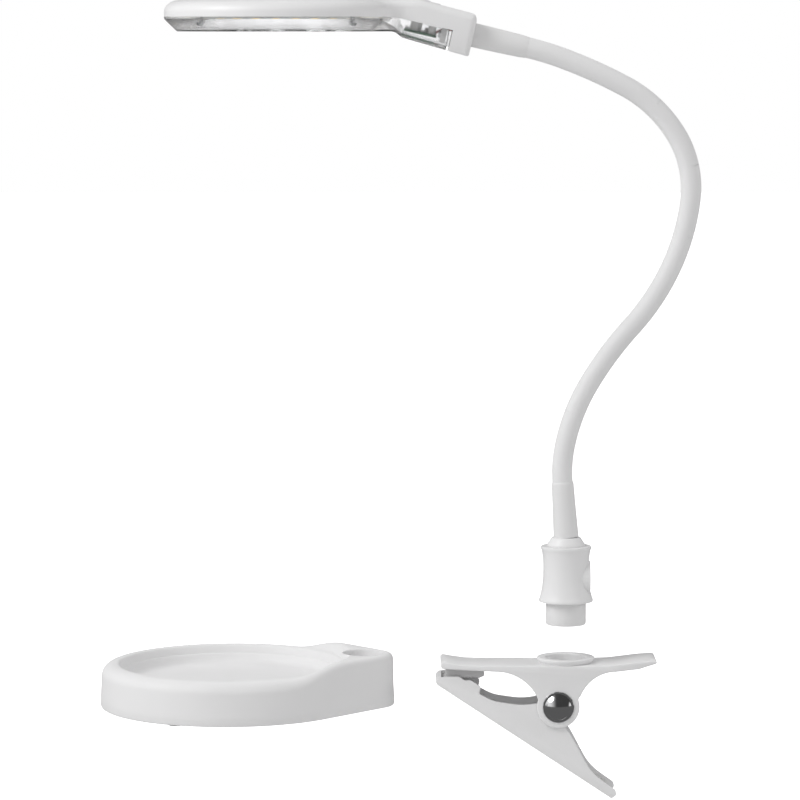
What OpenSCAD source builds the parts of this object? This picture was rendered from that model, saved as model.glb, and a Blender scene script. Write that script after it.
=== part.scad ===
// Clip-on reading lamp: round LED magnifier head on a gooseneck, a plug-in connector,
// a sprung table clip and a weighted desk stand. Millimetres, +Z up.
// The origin is the middle of the clip's grip, where a shelf edge is held; +X runs back
// from the grip to the lamp's upright axis, and the lamp is drawn lifted out of its clip.

/* [Clip] */
// Width across the upper jaw's cheeks
clip_w = 30; // [29:0.5:38]
// Wall thickness of both jaws
jaw_wall = 1.8; // [1.2:0.1:2.2]
// Distance from the middle of the grip back to the lamp's axis
socket_x = 56; // [54:0.5:60]
// Height of the socket's mouth above the grip
socket_z = 10.5; // [10:0.1:13]
// Diameter of the raised disc around the socket
boss_d = 32; // [29:0.5:36]
// Height of the raised disc over the top plate
boss_h = 3; // [1.5:0.1:4]
// Pivot's distance back from the grip
pivot_x = 51.5; // [48:0.5:54]
// Pivot's depth under the grip
pivot_drop = 15.5; // [15:0.5:18]
// Diameter of the pivot rivet's shank
pin_d = 6; // [4:0.5:7]
// Diameter of the rivet's domed heads
rivet_d = 15; // [11:0.5:18]
// Radius of the upper jaw's round ears
ear_r = 11.8; // [9.5:0.1:13]
// Length of the upper jaw behind the grip
handle_x = 106; // [98:1:115]
// Thickness of the grip pads
pad_t = 5; // [4.5:0.1:5.4]

/* [Plug and connector] */
// Diameter of the plug that the sockets take
plug_d = 22.3; // [18:0.1:23]
// Length of the plug below the connector
plug_len = 12.6; // [8:0.1:16]
// Radial clearance of the plug in its sockets
plug_fit = 0.08; // [0.02:0.01:0.1]
// Height at which the lifted plug's end hangs above the clip's socket
plug_lift = 18; // [5:1:40]
// Height of the connector's body
connector_h = 31; // [26:1:40]
// Diameter across the connector's lower rim
connector_d = 30; // [28:0.5:34]
// Diameter at the connector's waist
waist_d = 25; // [23:0.5:27]
// Diameter of the round inlet boss
inlet_d = 19; // [14:0.5:20]

/* [Gooseneck] */
// Diameter of the gooseneck's sleeve
sleeve_d = 11.3; // [10:0.1:13]
// Diameter of the conduit inside the sleeve
conduit_d = 8.2; // [8:0.1:8.8]
// Length of gooseneck between two bending points
link_len = 38.5; // [30:0.5:44]
// Angle that each bending point turns to either side
link_bend = 20; // [5:1:22]
// Length of the lower ferrule
ferrule_low_len = 31; // [22:0.5:38]
// Length of the upper ferrule
ferrule_top_len = 30.5; // [22:0.5:38]
// Lean of the lower ferrule from upright
neck_lean = -4; // [-10:1:10]

/* [Head] */
// Diameter of the round head
head_d = 125.4; // [115:0.2:140]
// Height of the white shell above the parting line
shell_h = 9.1; // [7.5:0.1:12]
// Depth of the clear cover below the parting line
cover_h = 8; // [7.5:0.1:9]
// Wall thickness of the head's shell and cover
head_wall = 1.8; // [1.2:0.1:2.2]
// Diameter of the lens
lens_d = 94; // [80:0.5:95]
// Thickness of the lens at its middle
lens_t = 8; // [7:0.1:9]
// Radius of each face of the lens
lens_curve = 400; // [380:5:600]
// Length of the head's neck
neck_len = 44.5; // [42:0.5:55]
// Width of the head's neck
neck_w = 30; // [28:0.5:36]
// Half height of the neck at its end
neck_end_h = 11.3; // [10.5:0.1:13]
// Number of LEDs in the ring
led_count = 30; // [12:2:36]

/* [Desk stand] */
// Distance of the stand's dish centre in front of the grip
stand_x = 130; // [128:1:160]
// Diameter of the stand's round body
stand_d = 144; // [136:1:156]
// Diameter of the dish in the stand
dish_d = 123; // [100:1:124]
// Depth of the dish
dish_h = 10.6; // [6:0.1:12]
// Height of the dish's rim above the stand's underside
stand_h = 24; // [22:0.5:30]
// Height of the socket nose above the stand's underside
nose_h = 29.5; // [28:0.5:36]
// Radius of the round boss that holds the nose's socket
nose_r = 17; // [14:0.5:20]
// Distance from the dish centre to the nose's socket
nose_reach = 74; // [72:0.5:84]
// Wall thickness of the stand
stand_wall = 2.4; // [1.8:0.1:3]
// Height of the stand's underside below the grip
stand_drop = 16.5; // [10:0.5:24]
// Diameter of a rubber foot
foot_d = 11; // [8:0.5:12]
// Height of a foot below the stand
foot_h = 1.4; // [0.8:0.1:3]

/* [Hidden] */
$fn = 96;

// small clearances and steps shared by several pieces
fit = 0.05;
gap = 0.3;
eps = 0.01;

// clip, worked out from the driving sizes
pivot_z = -pivot_drop;
plate_z = socket_z - boss_h;
plate_t = 2;
tip_x = -13.5;
tip_z = plate_z + 2;
skirt_z = plate_z - 3.4;
skirt_tip_z = plate_z - 1.8;
handle_z = plate_z + 2.7;
throat_r = 25;
throat_x = pivot_x - 34.3;
rear_r = 21;
rear_x = pivot_x + 32;
lower_w = clip_w - 2 * jaw_wall - 2 * gap;
lower_in = lower_w - 2 * jaw_wall;
lower_ear_r = 8.8;
lower_slope = 33.4;
lower_tip = [-15.4, -3.4];
pad_w = lower_in - 2;
pad_front = -10.5;
pad_back = 10.7;
washer_t = 0.8;
washer_d = rivet_d + 2.4;
dome_h = 3.4;
spring_wire = 2;
spring_turns = 5;
spring_r = pin_d / 2 + spring_wire / 2 + 1.4;

// plug and connector
plug_r = plug_d / 2;
socket_r = plug_r + plug_fit;
socket_depth = plug_len + 0.8;
plug_z = socket_z + plug_lift;
connector_z = plug_z + plug_len + gap;
connector_top = connector_z + connector_h;
journal_r = 4.5;
floor_t = 2.6;
connector_wall = 2.2;
cap_h = 5;
cap_low_r = 10.4;
cap_top_r = 7.8;
inlet_z = connector_z + 0.42 * connector_h;
inlet_face = waist_d / 2 + 0.8;
jack_r = 5.2;
jack_bore_r = 2.85;
jack_len = 9;

// gooseneck path: arcs between bending points, each with its own turn towards +X
turns = [15, 20, 11, -17, -18, -39, -30, -8, -7];
links = len(turns);
function link_length(i) = (i == 0 || i == links - 1) ? link_len / 2 : link_len;
// a step along an arc of given length and turn, in the arc's own frame (x across, z along)
function arc_step(length, turn) =
    let (r = length / (turn * PI / 180)) [r * (1 - cos(turn)), r * sin(turn)];
// turns an [x, z] pair by an angle from +Z towards +X
function turned(p, a) = [p[0] * cos(a) + p[1] * sin(a), -p[0] * sin(a) + p[1] * cos(a)];
neck_foot = [socket_x, connector_top + cap_h];
neck_start = neck_foot + turned([0, ferrule_low_len], neck_lean);
// [x, z, heading] where length i of the gooseneck begins
function neck_at(i) = i == 0 ? [neck_start[0], neck_start[1], neck_lean] :
    let (a = neck_at(i - 1), s = turned(arc_step(link_length(i - 1), turns[i - 1]), a[2]))
    [a[0] + s[0], a[1] + s[1], a[2] + turns[i - 1]];
neck_tip = neck_at(links);
conduit_bore = 1.3;
ball_r = 2.8;
cup_gap = 0.12;
ball_neck_r = 1.9;
// room left between two sleeve ends so that they clear at full bend
sleeve_gap = sleeve_d * tan(link_bend / 2) + gap;
conduit_gap = 2.9;

// head: the neck runs on from the gooseneck, and the ring lies level beyond its bend
head_tilt = 90 + neck_tip[2];
head_r = head_d / 2;
ferrule_end = [neck_tip[0], neck_tip[1]] + turned([0, ferrule_top_len], neck_tip[2]);
bend = ferrule_end + turned([0, neck_len], neck_tip[2]);
lens_r = lens_d / 2;
lens_lip = 2.4;
// half thickness of the lens where the lips of shell and cover hold it
lens_seat = lens_t / 2 + 0.02
    - (lens_curve - sqrt(lens_curve * lens_curve - pow(lens_r - lens_lip, 2)));
shell_round = 4.4;
cover_bevel = cover_h - 1;
end_block = 11.5;
board_in = lens_r + 1.8;
board_out = board_in + 5;
board_t = 1.2;
board_z = 2.6;
led_l = 3.5;
led_w = 2.8;
led_h = 0.7;
post_r = 2.6;
post_at = head_r - 5.7;
screw_r = 1.2;
screw_head_r = 2.1;
post_angles = [45, 135, 225, 315];
neck_root = -13;
// where the neck's top leaves the level of the ring, and where its underside steps down
neck_brow = 12;
chin = 5;
rocker_len = 11;
rocker_w = 6;
rocker_at = 18.4;
rocker_turn = 14;
// the brow in the neck's own frame; the switch hangs under the lowest part of the roof over it
brow_at = turned([neck_brow, shell_h], -head_tilt);
rocker_z = neck_top(rocker_at + rocker_len / 2 + 1.3) - 0.55;
rocker_pin = 2.6;

// desk stand
stand_z = -stand_drop;
stand_r = stand_d / 2;
dish_r = dish_d / 2;
stand_edge = 7;
foot_ring = stand_r - 10.5;
foot_angles = [36, 116, 244, 324];
plate_inset = 1.6;

// colours
white = "#eeedea";
warm_white = "#e9e7e2";
shade = "#d9d8d4";
grip_grey = "#8d8d8d";
black = "#232325";
steel = "#b9bbbd";
chrome = "#d5d8da";

// upright plate of the given 2-D shape, drawn in X and Z, between two Y values
module slab(y0, y1) translate([0, y1, 0]) rotate([90, 0, 0]) linear_extrude(y1 - y0) children();

// the same shape on both sides of Y = 0, from half width a out to half width b
module pair(a, b) {
    slab(a, b) children();
    slab(-b, -a) children();
}

// cylinder lying along Y through [x, z]
module cross_pin(x, z, r, y0, y1) translate([x, y1, z]) rotate([90, 0, 0]) cylinder(r = r, h = y1 - y0);

// ---- clip ----

// side view of one upper cheek: bar, web and round ear
module upper_cheek() {
    difference() {
        polygon([[tip_x + 0.8, skirt_tip_z], [throat_x, skirt_z], [throat_x, pivot_z],
            [rear_x, pivot_z], [rear_x, skirt_z], [handle_x, handle_z - 1.2],
            [handle_x - 3, handle_z], [rear_x - 4, plate_z], [tip_x + 20, plate_z], [tip_x, tip_z]]);
        translate([throat_x, skirt_z - throat_r]) circle(throat_r);
        translate([rear_x, skirt_z - rear_r]) circle(rear_r);
    }
    translate([pivot_x, pivot_z]) circle(ear_r);
}

// side view of the plate along the top of the upper jaw
module top_plate() polygon([[tip_x, tip_z], [tip_x + 20, plate_z], [rear_x - 4, plate_z],
    [handle_x - 3, handle_z], [handle_x, handle_z - 1.2], [handle_x - 3, handle_z - plate_t],
    [rear_x - 4, plate_z - plate_t], [tip_x + 20, plate_z - plate_t],
    [tip_x + jaw_wall, tip_z - plate_t], [tip_x + jaw_wall, skirt_tip_z], [tip_x + 0.8, skirt_tip_z]]);

module upper_jaw() color(white) difference() {
    union() {
        pair(clip_w / 2 - jaw_wall, clip_w / 2) upper_cheek();
        slab(-clip_w / 2 + jaw_wall, clip_w / 2 - jaw_wall) top_plate();
    }
    cross_pin(pivot_x, pivot_z, pin_d / 2 + fit, -clip_w, clip_w);
    translate([socket_x, 0, plate_z - 2 * plate_t])
        cylinder(r = socket_r + jaw_wall + fit, h = 3 * plate_t);
}

// cup that takes the plug, with the raised disc as its flange
module socket_cup() color(white) translate([socket_x, 0, 0]) difference() {
    union() {
        translate([0, 0, plate_z]) cylinder(d = boss_d, h = boss_h);
        translate([0, 0, socket_z - socket_depth - 1.4])
            cylinder(r = socket_r + jaw_wall - 0.1, h = socket_depth);
    }
    translate([0, 0, socket_z - socket_depth]) cylinder(r = socket_r, h = socket_depth + 1);
    translate([0, 0, socket_z - 0.6]) cylinder(r1 = socket_r, r2 = socket_r + 0.8, h = 0.8);
}

// domed rivet head standing out from the cheek along -Y, at the origin
module dome() {
    sphere_r = (rivet_d * rivet_d / 4 + dome_h * dome_h) / (2 * dome_h);
    rotate([90, 0, 0]) intersection() {
        translate([0, 0, dome_h - sphere_r]) sphere(sphere_r);
        cylinder(d = rivet_d, h = dome_h);
    }
}

module pivot_rivet() color(chrome) {
    translate([pivot_x, -clip_w / 2 - washer_t, pivot_z]) dome();
    cross_pin(pivot_x, pivot_z, pin_d / 2, -clip_w / 2 - washer_t, clip_w / 2 + washer_t);
}

module rivet_cap() color(chrome)
    translate([pivot_x, clip_w / 2 + washer_t, pivot_z]) rotate([0, 0, 180]) dome();

module rivet_washers() color(chrome) for (side = [-1, 1])
    difference() {
        cross_pin(pivot_x, pivot_z, washer_d / 2, side * (clip_w + washer_t) / 2 - washer_t / 2,
            side * (clip_w + washer_t) / 2 + washer_t / 2);
        cross_pin(pivot_x, pivot_z, pin_d / 2 + fit, -clip_w, clip_w);
    }

// pad moulded with cross grooves that grip a shelf edge
module upper_pad() color(grip_grey) slab(-pad_w / 2, pad_w / 2) difference() {
    polygon([[pad_front, 0], [pad_back - 3, 0], [pad_back, 1.2], [pad_back, pad_t - 0.1],
        [pad_front + 17, plate_z - plate_t], [pad_front, plate_z - plate_t + 1.2]]);
    for (x = [pad_front + 2.5 : 2.5 : pad_back - 4]) translate([x, 0]) circle(d = 1);
}

// side view of one lower cheek, with the toothed edge behind the grip
module lower_cheek() {
    down = tan(lower_slope);
    handle_end = lower_tip + [95.2, -95.2 * down];
    polygon([lower_tip, [-16.4, -1.6], [-14.8, 0.4], [-11.3, 1], [-3.3, 1.2], [0, -1.2], [2.8, -0.7],
        [8.8, -4.5], [7.7, -8.4], [16, -12.8], [31.9, -15], [pivot_x - 9, pivot_z + 2],
        [pivot_x + 1.2, pivot_z - 4.5], [pivot_x + 6.3, pivot_z - 14.3],
        [pivot_x + 18.4, pivot_z - 37.4], [pivot_x + 31.6, pivot_z - 47.3],
        handle_end + [1.8, 0.6], handle_end]);
    translate([pivot_x, pivot_z]) circle(lower_ear_r);
}

// side view of the plate that closes the lower jaw along its straight edge
module lower_plate() {
    run = 95.2;
    down = tan(lower_slope);
    up = jaw_wall / cos(lower_slope);
    polygon([lower_tip, [-16.4, -1.6], [-14.8, 0.4], [-14.8 + jaw_wall, 0.4],
        lower_tip + [jaw_wall + 1, up - (jaw_wall + 1) * down], lower_tip + [run, up - run * down],
        lower_tip + [run, -run * down]]);
}

module lower_jaw() color(white) difference() {
    union() {
        pair(lower_in / 2, lower_w / 2) lower_cheek();
        slab(-lower_in / 2, lower_in / 2) lower_plate();
    }
    cross_pin(pivot_x, pivot_z, pin_d / 2 + fit, -clip_w, clip_w);
}

module lower_pad() color(grip_grey) slab(-pad_w / 2, pad_w / 2)
    polygon([[-12.4, -0.3], [-3.4, -0.3], [-3.4, -8.4], [-12.4, -2.6]]);

// ribbed thumb pad on the inside of the lower handle
module thumb_grip() color(warm_white) {
    base = [pivot_x + 16, 0];
    start = lower_tip + [base[0] - lower_tip[0],
        (jaw_wall + 0.05) / cos(lower_slope) - (base[0] - lower_tip[0]) * tan(lower_slope)];
    translate([start[0], 0, start[1]]) rotate([0, lower_slope, 0]) {
        translate([0, -lower_in / 2 + fit, 0]) cube([14, lower_in - 2 * fit, 1]);
        for (x = [1.5 : 2.2 : 13]) translate([x, 0, 1]) rotate([90, 0, 0])
            cylinder(r = 0.6, h = lower_in - 1, center = true);
    }
}

// torsion spring: coils around the rivet and a leg to each jaw
module torsion_spring() color(steel) {
    pitch = spring_wire + 0.15;
    for (i = [0 : spring_turns - 1])
        translate([pivot_x, (i - (spring_turns - 1) / 2) * pitch, pivot_z])
            rotate([90, 0, 0]) rotate_extrude() translate([spring_r, 0]) circle(d = spring_wire);
    translate([pivot_x - spring_r, -(spring_turns - 1) / 2 * pitch, pivot_z]) rotate([0, -26, 0])
        cylinder(d = spring_wire, h = 14);
    translate([pivot_x - spring_r, (spring_turns - 1) / 2 * pitch, pivot_z]) rotate([0, 202, 0])
        cylinder(d = spring_wire, h = 8);
}

// ---- plug and connector ----

module plug_stub() color(warm_white) translate([socket_x, 0, 0]) difference() {
    union() {
        translate([0, 0, plug_z + 1]) cylinder(r = plug_r, h = plug_len - 1);
        translate([0, 0, plug_z]) cylinder(r1 = plug_r - 0.8, r2 = plug_r, h = 1);
        translate([0, 0, plug_z]) cylinder(r = journal_r, h = plug_len + gap + floor_t + 2.4);
    }
    translate([0, 0, plug_z - 1]) cylinder(r = plug_r - 2.4, h = plug_len - 2.4);
    translate([0, 0, plug_z]) cylinder(r = journal_r - 2.5, h = 2 * plug_len);
    translate([0, 0, connector_z + floor_t + gap]) difference() {
        cylinder(r = journal_r + 1, h = 1.1);
        translate([0, 0, -1]) cylinder(r = journal_r - 0.9, h = 3);
    }
}

// spring ring in the plug's groove that keeps the connector on it
module swivel_circlip() color(steel)
    translate([socket_x, 0, connector_z + floor_t + gap + 0.05]) linear_extrude(1) difference() {
        circle(r = journal_r + 1.5);
        circle(r = journal_r - 0.85);
        translate([0, -1.5]) square([2 * journal_r, 3]);
    }

// half outline of the connector: rims above and below a hollow waist
module connector_outline(inset) {
    rim = connector_d / 2;
    top_rim = rim - 1.1;
    waist = waist_d / 2;
    steps = 16;
    polygon([[0, -inset], [rim - inset, -inset], [rim - inset, inset > 0 ? floor_t + fit : 1.4],
        for (i = [0 : steps]) let (t = i / steps, h = 3 + t * (connector_h - 5.5))
            [waist - inset + (rim - waist - 1.2) * pow(1 - t, 4) + (top_rim - waist - 0.8) * pow(t, 6), h],
        [top_rim - inset, connector_h - 1.4], [top_rim - inset, connector_h - inset],
        [0, connector_h - inset]]);
}

// the two screws that hold the base plate stand either side of the plug
module at_base_screws() for (y = [-1, 1])
    translate([socket_x, y * (waist_d / 2 - connector_wall - 1.6), connector_z]) children();

module connector_shell() color(white) {
    difference() {
        translate([socket_x, 0, 0]) union() {
            translate([0, 0, connector_z]) rotate_extrude() connector_outline(0);
            translate([0, 0, inlet_z]) rotate([0, 90, 0]) cylinder(d = inlet_d, h = inlet_face);
        }
        translate([socket_x, 0, connector_z]) rotate_extrude() connector_outline(connector_wall);
        translate([socket_x, 0, connector_top - 2 * connector_wall]) cylinder(r = cap_top_r - 1.4, h = 20);
        translate([socket_x + inlet_face - 2.2, 0, inlet_z]) rotate([0, 90, 0])
            cylinder(r = inlet_d / 2 - 1.6, h = 9);
        translate([socket_x, 0, inlet_z]) rotate([0, 90, 0]) cylinder(r = jack_r + fit, h = connector_d);
    }
    at_base_screws() translate([0, 0, floor_t + fit]) difference() {
        cylinder(r = 2.4, h = 9);
        translate([0, 0, -1]) cylinder(r = screw_r + fit, h = 8);
    }
}

// disc that closes the connector from below and turns on the plug's journal
module connector_base() color(white) difference() {
    translate([socket_x, 0, connector_z])
        cylinder(r = connector_d / 2 - connector_wall - fit, h = floor_t);
    translate([socket_x, 0, connector_z - 1]) cylinder(r = journal_r + 0.08, h = floor_t + 2);
    at_base_screws() translate([0, 0, -1]) cylinder(r = screw_r + fit, h = 9);
    at_base_screws() translate([0, 0, -1]) cylinder(r = screw_head_r + 0.2, h = 2.2);
}

// collar on top that both halves and the lower ferrule seat against
module connector_cap() color(white) translate([socket_x, 0, connector_top]) difference() {
    union() {
        cylinder(r1 = cap_low_r, r2 = cap_top_r, h = cap_h - 0.6);
        translate([0, 0, -connector_wall]) cylinder(r = cap_top_r - 1.4 - fit, h = connector_wall);
    }
    translate([0, 0, -2 * connector_wall]) cylinder(d = conduit_d + 1.6, h = 20);
}

module connector_screws() color(steel) at_base_screws() {
    cylinder(r = screw_head_r, h = 1.1);
    translate([0, 0, 1]) cylinder(r = screw_r, h = 7);
}

module inlet_housing() color(black) translate([socket_x + inlet_face - jack_len - 1.4, 0, inlet_z])
    rotate([0, 90, 0]) difference() {
        cylinder(r = jack_r, h = jack_len);
        translate([0, 0, 1.5]) cylinder(r = jack_bore_r, h = jack_len);
    }

module inlet_pin() color(steel) translate([socket_x + inlet_face - jack_len + 0.1, 0, inlet_z])
    rotate([0, 90, 0]) {
        cylinder(r = 1.05, h = jack_len - 2.8);
        translate([0, 0, jack_len - 2.8]) sphere(r = 1.05);
    }

// ---- gooseneck ----

// a round bar along an arc that starts at the origin heading +Z and turns towards +X,
// from arc length a up to arc length b
module arc_bar(length, turn, a, b, r) {
    bend_r = length / (abs(turn) * PI / 180);
    mirror([turn > 0 ? 0 : 1, 0, 0]) translate([bend_r, 0, 0]) rotate([90, 0, 0])
        rotate([0, 0, 180 - abs(turn) * b / length])
            rotate_extrude(angle = abs(turn) * (b - a) / length)
                translate([bend_r, 0]) circle(r);
}

module at_neck(i) {
    p = neck_at(i);
    translate([p[0], 0, p[1]]) rotate([0, p[2], 0]) children();
}

module ferrule(len, r_low, r_top, bore) difference() {
    union() {
        cylinder(r1 = r_low, r2 = r_top, h = len - 1.6);
        translate([0, 0, len - 1.6]) cylinder(r1 = r_top, r2 = r_top - 0.5, h = 1.6);
    }
    translate([0, 0, -1]) cylinder(r = bore, h = len + 2);
}

module lower_ferrule() color(warm_white)
    translate([neck_foot[0], 0, neck_foot[1]]) rotate([0, neck_lean, 0])
        ferrule(ferrule_low_len, sleeve_d / 2 + 1.25, sleeve_d / 2 + 0.45, conduit_d / 2 + fit);

module upper_ferrule() color(warm_white) at_neck(links)
    translate([0, 0, ferrule_top_len]) mirror([0, 0, 1])
        ferrule(ferrule_top_len, sleeve_d / 2 + 0.95, sleeve_d / 2 + 0.35, conduit_d / 2 + fit);

// length i of the white sleeve, clear of its neighbours by the bending gap
module sleeve(i) {
    length = link_length(i);
    a = i == 0 ? fit : sleeve_gap / 2;
    b = length - (i == links - 1 ? fit : sleeve_gap / 2);
    color(warm_white) at_neck(i) difference() {
        arc_bar(length, turns[i], a, b, sleeve_d / 2);
        arc_bar(length, turns[i], a - 1, b + 1, conduit_d / 2 + fit);
    }
}

// length i of the inner conduit: a ball on its upper end turns in a cup in the next one
module conduit(i) {
    length = link_length(i);
    first = i == 0;
    last = i == links - 1;
    end = last ? length : length - conduit_gap;
    straight_r = conduit_d / 2 - fit;
    color(steel) {
        difference() {
            union() {
                at_neck(i) arc_bar(length, turns[i], first ? 0 : 0.2, end, conduit_d / 2);
                at_neck(i) translate([0, 0, first ? -ferrule_low_len - cap_h : -0.9])
                    cylinder(r = straight_r, h = (first ? ferrule_low_len + cap_h : 0.9) + 1);
                if (last) at_neck(links) translate([0, 0, -1])
                    cylinder(r = straight_r, h = ferrule_top_len + end_block + 1);
            }
            if (first) at_neck(0) translate([0, 0, -ferrule_low_len - cap_h - 1])
                cylinder(r = conduit_bore, h = ferrule_low_len + cap_h - 2);
            else at_neck(i) sphere(r = ball_r + cup_gap);
            if (last) at_neck(links) translate([0, 0, 3])
                cylinder(r = conduit_bore, h = ferrule_top_len + end_block);
        }
        if (!last) at_neck(i + 1) {
            sphere(r = ball_r);
            translate([0, 0, -conduit_gap - 0.8]) cylinder(r = ball_neck_r, h = conduit_gap);
        }
    }
}

// ---- head ----

// the head's own frame: origin on the parting plane where the neck meets the ring
module in_head() translate([bend[0], 0, bend[1]]) children();
module in_ring() in_head() translate([-head_r, 0, 0]) children();
// the neck's frame: x runs down the neck from the bend
module in_neck() in_head() rotate([0, head_tilt, 0]) children();

// point [x, z] of the neck's frame in the head's frame
function in_slope(x, z) = turned([x, z], head_tilt);

// height of the neck's top line at x, both in the neck's frame
function neck_top(x) = brow_at[1]
    + (neck_end_h - brow_at[1]) * (x - brow_at[0]) / (neck_len - brow_at[0]);

// half outline of the white shell's ring
module shell_outline() {
    steps = 8;
    polygon([[lens_r - lens_lip, lens_seat], [lens_r - lens_lip, shell_h - 1],
        [lens_r - lens_lip + 1, shell_h],
        for (i = [0 : steps]) let (a = 90 - 90 * i / steps)
            [head_r - shell_round + shell_round * cos(a), shell_h - shell_round + shell_round * sin(a)],
        [head_r, 0], [lens_r + 0.1, 0], [lens_r + 0.1, lens_seat]]);
}

// half outline of the clear cover's ring
module cover_outline() polygon([[lens_r - lens_lip, -lens_seat], [lens_r + 0.1, -lens_seat],
    [lens_r + 0.1, 0], [head_r, 0], [head_r, -1], [head_r - cover_bevel, -cover_h],
    [lens_r - lens_lip + 1, -cover_h], [lens_r - lens_lip, -cover_h + 1]]);

// side view of the neck's white part: upper wall and the full-height end block
module shell_neck() polygon([[neck_root, 0], [neck_root, shell_h], [neck_brow, shell_h],
    in_slope(neck_len, neck_end_h), in_slope(neck_len, -neck_end_h),
    in_slope(neck_len - end_block, -neck_end_h), in_slope(neck_len - end_block, 0), [0, 0]]);

// side view of the room under the upper wall
module shell_neck_room() {
    wall = head_wall;
    end = neck_len - end_block + fit;
    low = -neck_end_h - 1;
    polygon([[neck_root - eps, low], [neck_root - eps, shell_h - wall], [neck_brow, shell_h - wall],
        in_slope(end, neck_end_h - wall), in_slope(end, low), [0, low]]);
}

// side view of the neck's clear part, and of the room above its floor
module cover_neck() polygon([[neck_root, 0], [0, 0], in_slope(neck_len - end_block - 0.1, 0),
    in_slope(neck_len - end_block - 0.1, -neck_end_h), [chin, -cover_h - 2.4], [1, -cover_h],
    [neck_root, -cover_h]]);

module cover_neck_room() {
    wall = head_wall;
    end = neck_len;
    polygon([[neck_root - eps, 1], [0, 1], in_slope(end, 1), in_slope(end, -neck_end_h + wall),
        [chin + 0.5, -cover_h - 2.4 + wall], [1.5, -cover_h + wall], [neck_root - eps, -cover_h + wall]]);
}

module at_posts() for (a = post_angles) rotate([0, 0, a]) translate([post_at, 0, 0]) children();

module head_shell() color(white) difference() {
    union() {
        difference() {
            union() {
                in_ring() rotate_extrude() shell_outline();
                in_head() slab(-neck_w / 2, neck_w / 2) shell_neck();
            }
            // channel around the ring, and the room inside the neck
            in_ring() translate([0, 0, -1]) difference() {
                cylinder(r = head_r - head_wall, h = shell_h - head_wall + 1);
                cylinder(r = lens_r + 1.4, h = 4 * shell_h, center = true);
            }
            in_head() slab(-neck_w / 2 + head_wall, neck_w / 2 - head_wall) shell_neck_room();
        }
        in_ring() at_posts() cylinder(r = post_r, h = shell_h - 1);
    }
    in_ring() at_posts() translate([0, 0, -1]) cylinder(r = screw_r + fit, h = shell_h - 1);
    // lens opening stays clear of the neck
    in_ring() translate([0, 0, -1]) cylinder(r = lens_r + 0.1, h = 1 + lens_seat);
    in_ring() cylinder(r = lens_r - lens_lip, h = 3 * shell_h);
    in_neck() translate([neck_len + 1, 0, 0]) rotate([0, -90, 0])
        cylinder(d = conduit_d + 2 * fit, h = end_block + 4);
    in_neck() translate([rocker_at, 0, rocker_z - 4])
        cube([rocker_len + 2 * gap, rocker_w + 2 * gap, 20], center = true);
}

module clear_cover() color("#dfe6ea", 0.5) difference() {
    union() {
        difference() {
            union() {
                in_ring() rotate_extrude() cover_outline();
                in_head() slab(-neck_w / 2, neck_w / 2) cover_neck();
            }
            in_ring() rotate_extrude() polygon([[lens_r + 1.4, 1], [head_r - head_wall, 1],
                [head_r - head_wall, -1], [head_r - cover_bevel - 0.6, -cover_h + head_wall],
                [lens_r + 1.4, -cover_h + head_wall]]);
            in_head() slab(-neck_w / 2 + head_wall, neck_w / 2 - head_wall) cover_neck_room();
        }
        in_ring() at_posts() translate([0, 0, -4.4]) cylinder(r = post_r, h = 4.4);
    }
    in_ring() at_posts() {
        translate([0, 0, -cover_h]) cylinder(r = screw_r + fit, h = 2 * cover_h);
        translate([0, 0, -cover_h - 4.4 + 1.6]) cylinder(r = screw_head_r + 0.15, h = cover_h);
    }
    in_ring() translate([0, 0, -lens_seat]) cylinder(r = lens_r + 0.1, h = 3);
    in_ring() translate([0, 0, -2 * cover_h]) cylinder(r = lens_r - lens_lip, h = 3 * cover_h);
}

module lens() color("#e8f2f6", 0.4) in_ring() intersection() {
    translate([0, 0, lens_t / 2 - lens_curve]) sphere(lens_curve, $fn = 400);
    translate([0, 0, lens_curve - lens_t / 2]) sphere(lens_curve, $fn = 400);
    cylinder(r = lens_r, h = lens_t, center = true);
}

// ring-shaped board and its LEDs, which face down
module led_board() color("#dfe7df") in_ring() translate([0, 0, board_z]) linear_extrude(board_t)
    difference() {
        circle(board_out);
        circle(board_in);
    }

module leds() color("#f1e29a") in_ring() for (i = [0 : led_count - 1])
    rotate([0, 0, (i + 0.5) * 360 / led_count])
        translate([(board_in + board_out) / 2, 0, board_z - led_h / 2])
            cube([led_w, led_l, led_h], center = true);

module cover_screws() color(steel) in_ring() at_posts() {
    translate([0, 0, -4.4]) difference() {
        cylinder(r = screw_head_r, h = 1.5);
        translate([0, 0, -1]) cylinder(r = 1.1, h = 1.7, $fn = 4);
    }
    translate([0, 0, -3]) cylinder(r = screw_r, h = 9);
}

// driver board, its parts and the clamp on the conduit's end, all inside the neck
module driver_board() color("#3f6b4a") in_neck() translate([7, -10, -6.3]) cube([18, 20, 1.2]);

module driver_parts() color("#2c2c2e") in_neck() translate([7, -10, -5.05]) {
    translate([6, 6, 0]) cylinder(r = 3.2, h = 5);
    translate([11, 12.2, 0]) cube([6, 6, 2.2]);
    translate([3, 13, 0]) cube([4, 3, 1.4]);
    translate([15, 4, 0]) cylinder(r = 2.2, h = 4.4);
}

// two leads that leave the conduit and curve down to the board
module head_wires() for (side = [-1, 1]) color(side > 0 ? "#b23a32" : black) in_neck() {
    start = neck_len - end_block - fit;
    drop = 4.6;
    run = 9;
    sweep = 2 * atan(drop / run);
    r = run / sin(sweep);
    translate([start, 0.64 * side, -r]) rotate([90, 0, 0])
        rotate_extrude(angle = sweep, start = 90) translate([r, 0]) circle(0.58);
}

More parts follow.
